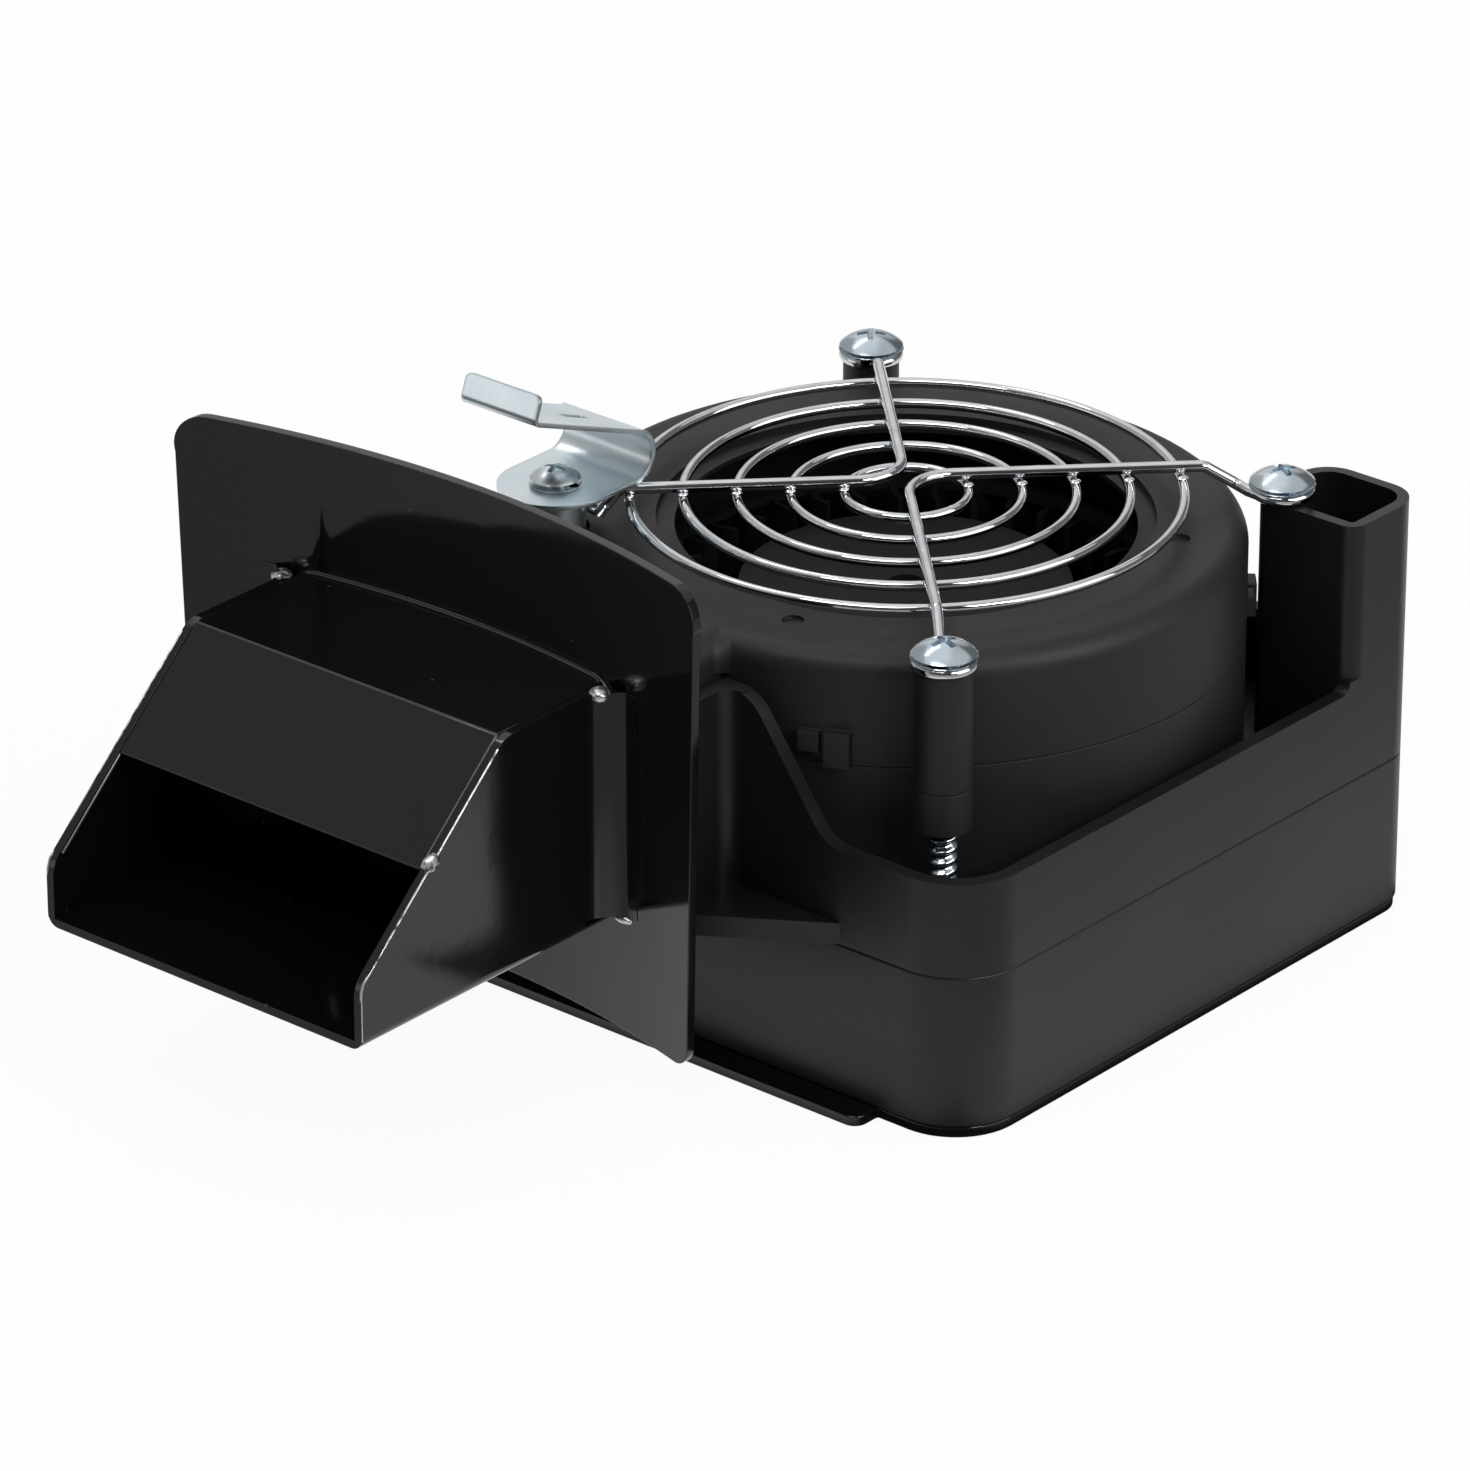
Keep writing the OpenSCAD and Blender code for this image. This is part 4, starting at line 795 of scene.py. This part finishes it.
STRIP_T = TONGUE_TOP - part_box("latch_tongue")[0].z / MM
STRIP_EDGE = 0.12
BEND_INSIDE = 3.2
BEND_R = BEND_INSIDE + STRIP_T / 2
BEND_Y = -25.6
BEND_Z = TONGUE_TOP + BEND_INSIDE
TONGUE_W = 15.6
ARM_W = 13.0
ARM_X = -31.9
ARM_RISE = math.radians(21)
ARM_L = 23.2
TAPER_L = 5
TAB_H = 4.2
TAB_R = 0.75
TAB_CORNER = 1.0
SLOT_L, SLOT_W = 5.2, 1.8
SLOT_PAST_BEND, SLOT_X = 5.2, 0.8
round_l = TONGUE_W / 2
flat_l = BEND_Y - CLIP_AT[1]
bend_l = BEND_R * (math.pi - ARM_RISE)
arm_l = ARM_L - STRIP_T / 2 - TAB_R
turn_l = TAB_R * math.pi / 2
tab_l = TAB_H - STRIP_T / 2 - TAB_R
blank_l = round_l + flat_l + bend_l + arm_l + turn_l + tab_l


def strip_edges(s):
    """Left and right edge of the flat blank at a distance along it, in mm."""
    left, right = CLIP_AT[0] - TONGUE_W / 2, CLIP_AT[0] + TONGUE_W / 2
    if s < round_l:
        half = math.sqrt(max(round_l ** 2 - (round_l - s) ** 2, 0))
        return CLIP_AT[0] - half, CLIP_AT[0] + half
    narrow = min(max((s - round_l - flat_l - bend_l) / TAPER_L + 0.5, 0), 1)
    narrow = narrow * narrow * (3 - 2 * narrow)
    left += narrow * (ARM_X - ARM_W / 2 - left)
    right += narrow * (ARM_X + ARM_W / 2 - right)
    nip = TAB_CORNER - math.sqrt(max(TAB_CORNER ** 2 - max(s - blank_l + TAB_CORNER, 0) ** 2, 0))
    return left + nip, right - nip


def strip_point(s):
    """Place of the middle of the strip's thickness at a distance along the bent strip: Y and Z in mm."""
    level = TONGUE_TOP - STRIP_T / 2
    if s < round_l + flat_l:
        return CLIP_AT[1] - round_l + s, level
    s -= round_l + flat_l
    if s < bend_l:
        a = s / BEND_R
        return BEND_Y + BEND_R * math.sin(a), BEND_Z - BEND_R * math.cos(a)
    s -= bend_l
    along = (-math.cos(ARM_RISE), math.sin(ARM_RISE))
    up = (math.sin(ARM_RISE), math.cos(ARM_RISE))
    x, y = min(s, arm_l), BEND_R
    if s > arm_l:
        a = min(s - arm_l, turn_l) / TAB_R
        x, y = arm_l + TAB_R * math.sin(a), BEND_R + TAB_R * (1 - math.cos(a))
    if s > arm_l + turn_l:
        y += s - arm_l - turn_l
    return BEND_Y + along[0] * x + up[0] * y, BEND_Z + along[1] * x + up[1] * y


def in_slot(face):
    """Tells whether a face of the flat blank lies in the slot that is pierced in the arm."""
    s = (face.center.y + 0.5) * blank_l
    left, right = strip_edges(s)
    x = left + (face.center.x + 0.5) * (right - left) - ARM_X
    past = s - round_l - flat_l - bend_l - SLOT_PAST_BEND
    return 0 < past < SLOT_L and abs(x - SLOT_X) < SLOT_W / 2


begin()
bpy.ops.mesh.primitive_grid_add(x_subdivisions=26, y_subdivisions=220, size=1, location=(0, 0, 0))
spring_strip = bpy.context.view_layer.objects.active
spring_strip.name = "spring_strip"
# The slot is cut from the flat blank, and the blank is then bent
chosen(spring_strip, "FACE", in_slot)
bpy.ops.mesh.delete(type="FACE")
bpy.ops.object.mode_set(mode="OBJECT")
for vertex in spring_strip.data.vertices:
    s = (vertex.co.y + 0.5) * blank_l
    left, right = strip_edges(s)
    y, z = strip_point(s)
    vertex.co = ((left + (vertex.co.x + 0.5) * (right - left)) * MM, y * MM, z * MM)
bpy.ops.object.mode_set(mode="EDIT")
bpy.ops.mesh.select_all(action="SELECT")
bpy.ops.mesh.remove_doubles(threshold=SAME_POINT)
bpy.ops.mesh.normals_make_consistent(inside=False)
bpy.ops.object.mode_set(mode="OBJECT")
sheet = spring_strip.modifiers.new("sheet", "SOLIDIFY")
sheet.thickness = STRIP_T * MM
sheet.offset = 0
bpy.ops.object.modifier_apply(modifier="sheet")
broken = spring_strip.modifiers.new("broken_edges", "BEVEL")
broken.width = STRIP_EDGE * MM
broken.segments = 2
broken.limit_method = "ANGLE"
broken.angle_limit = math.radians(50)
bpy.ops.object.modifier_apply(modifier="broken_edges")
bpy.ops.object.shade_smooth_by_angle(angle=math.radians(40))
spring_strip.data.materials.append(strip_zinc)
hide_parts("latch_tongue", "latch_arm")
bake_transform(spring_strip)

# Studio
# A plain pale floor under soft boxes from the right, from above, from the back and from the left, and three
# small ones that only draw the highlights along the edges. The floor and the room are white to the camera.
floor_paint, tree = empty_material("white_floor")
rays = add(tree, "ShaderNodeLightPath")
seen = add(tree, "ShaderNodeMath", {0: rays.outputs["Is Camera Ray"], 1: rays.outputs["Is Transmission Ray"]},
           operation="MAXIMUM")
seen = add(tree, "ShaderNodeMath", {0: seen.outputs[0], 1: 0.94}, operation="MULTIPLY")
part = add(tree, "ShaderNodeMath", {0: seen.outputs[0], 1: rays.outputs["Is Glossy Ray"]},
           operation="MAXIMUM")
# Mirror finishes see the floor with a painted shadow: dark under the box, bright close by, and dimmed ahead
# and to the right by painted shade
spot = add(tree, "ShaderNodeSeparateXYZ", {0: add(tree, "ShaderNodeTexCoord").outputs["Object"]})
side = add(tree, "ShaderNodeMath", {0: spot.outputs["X"]}, operation="ABSOLUTE")
front = add(tree, "ShaderNodeMath", {0: spot.outputs["Y"]}, operation="ABSOLUTE")
off = add(tree, "ShaderNodeMath", {0: side.outputs[0], 1: front.outputs[0]}, operation="MAXIMUM")
# The painted contact shadow: the floor seen in mirrors darkens within a few mm of the box
clear = add(tree, "ShaderNodeMapRange", {"Value": off.outputs[0], "From Min": 50 * MM, "From Max": 55 * MM,
                                         "To Min": 0.03, "To Max": 0.85}, interpolation_type="SMOOTHSTEP")
# Painted falloff: the floor seen in mirrors dims ahead of the box and to its right
painted_falloff_ahead = add(tree, "ShaderNodeMapRange", {"Value": spot.outputs["Y"],
                                         "From Min": -82 * MM, "From Max": -130 * MM,
                                         "To Min": 1.0, "To Max": 0.5}, interpolation_type="SMOOTHSTEP")
right = add(tree, "ShaderNodeMapRange", {"Value": spot.outputs["X"], "From Min": 74 * MM, "From Max": 95 * MM,
                                         "To Min": 1.0, "To Max": 0.5}, interpolation_type="SMOOTHSTEP")
painted_falloff = add(tree, "ShaderNodeMath", {0: painted_falloff_ahead.outputs["Result"], 1: right.outputs["Result"]},
          operation="MINIMUM")
painted_floor_shade = add(tree, "ShaderNodeMath", {0: clear.outputs["Result"], 1: painted_falloff.outputs[0]}, operation="MULTIPLY")
level = add(tree, "ShaderNodeMix", {"Factor": rays.outputs["Is Glossy Ray"], 2: 1.0, 3: painted_floor_shade.outputs[0]})
paint = add(tree, "ShaderNodeBsdfDiffuse", {"Color": linear("#e9e9e9")})
glow = add(tree, "ShaderNodeEmission", {"Color": linear("#ffffff"), "Strength": level.outputs[0]})
both = add(tree, "ShaderNodeMixShader", {0: part.outputs[0], 1: paint.outputs[0], 2: glow.outputs[0]})
add(tree, "ShaderNodeOutputMaterial", {"Surface": both.outputs[0]})

begin()
bpy.ops.mesh.primitive_plane_add(size=8, location=(0, 0, -0.0002))
floor = bpy.context.view_layer.objects.active
floor.name = "studio_floor"
floor.data.materials.append(floor_paint)

room = bpy.data.worlds.new("studio_room")
room.use_nodes = True
room.node_tree.nodes.clear()
tree = room.node_tree
rays = add(tree, "ShaderNodeLightPath")
dim = add(tree, "ShaderNodeBackground", {"Color": linear("#ffffff"), "Strength": 0.3})
# Mirror finishes see a pale room that is darker on the photographer's side and towards the right
TO_CAMERA = (0.58, -0.70, 0.42)
TO_RIGHT = (0.77, 0.64, 0.0)
way = add(tree, "ShaderNodeTexCoord").outputs["Generated"]
facing = add(tree, "ShaderNodeVectorMath", {0: way, 1: TO_CAMERA}, operation="DOT_PRODUCT")
shade = add(tree, "ShaderNodeMapRange", {"Value": facing.outputs["Value"], "From Min": 0.35, "From Max": 0.85,
                                         "To Min": 0.44, "To Max": 0.08}, interpolation_type="SMOOTHSTEP")
aside = add(tree, "ShaderNodeVectorMath", {0: way, 1: TO_RIGHT}, operation="DOT_PRODUCT")
dusk = add(tree, "ShaderNodeMapRange", {"Value": aside.outputs["Value"], "From Min": 0.05, "From Max": 0.4,
                                        "To Min": 1.0, "To Max": 0.35}, interpolation_type="SMOOTHSTEP")
shade = add(tree, "ShaderNodeMath", {0: shade.outputs["Result"], 1: dusk.outputs["Result"]},
            operation="MULTIPLY")
pale = add(tree, "ShaderNodeBackground", {"Color": linear("#ffffff"), "Strength": shade.outputs[0]})
white = add(tree, "ShaderNodeBackground", {"Color": linear("#ffffff"), "Strength": 1.0})
both = add(tree, "ShaderNodeMixShader", {0: rays.outputs["Is Glossy Ray"],
                                         1: dim.outputs[0], 2: pale.outputs[0]})
both = add(tree, "ShaderNodeMixShader", {0: rays.outputs["Is Camera Ray"],
                                         1: both.outputs[0], 2: white.outputs[0]})
add(tree, "ShaderNodeOutputWorld", {"Surface": both.outputs[0]})
bpy.context.scene.world = room

LAMPS_AIM = Vector((0, -0.02, 0.03))
for name, at, size, watts in (("soft_box_right", (1.0, 0.25, 0.55), (1.0, 0.9), 5.5),
                              ("soft_box_top", (-0.1, 0.25, 1.2), (1.9, 1.6), 4.6),
                              ("soft_box_back", (-0.75, 0.95, 0.6), (1.1, 0.6), 0.7),
                              ("soft_box_left", (-0.8, -1.1, 0.26), (0.8, 0.4), 0.7),
                              ("edge_light_front", (0.12, -0.62, 1.15), (0.7, 0.4), 4.2),
                              ("edge_light_right", (0.95, -0.26, 0.72), (0.3, 0.3), 3.6),
                              ("edge_light_left", (-0.62, 0.15, 1.0), (0.6, 0.06), 0.8)):
    lamp = bpy.data.lights.new(name, "AREA")
    lamp.shape = "RECTANGLE"
    lamp.size, lamp.size_y = size
    lamp.energy = watts
    stand = bpy.data.objects.new(name, lamp)
    stand.location = at
    stand.rotation_euler = (LAMPS_AIM - Vector(at)).to_track_quat("-Z", "Y").to_euler()
    bpy.context.scene.collection.objects.link(stand)

lens = bpy.data.cameras.new("photo_view")
lens.sensor_fit = "HORIZONTAL"
lens.sensor_width = 36
lens.lens = 219.616
lens.clip_end = 20
camera = bpy.data.objects.new("photo_view", lens)
eye = Vector((0.69202, -0.84681, 0.55141))
target = Vector((-0.005286, -0.02907, 0.036114))
camera.location = eye
camera.rotation_euler = (target - eye).to_track_quat("-Z", "Y").to_euler()
bpy.context.scene.collection.objects.link(camera)
bpy.context.scene.camera = camera
bpy.context.scene.view_settings.view_transform = "Standard"
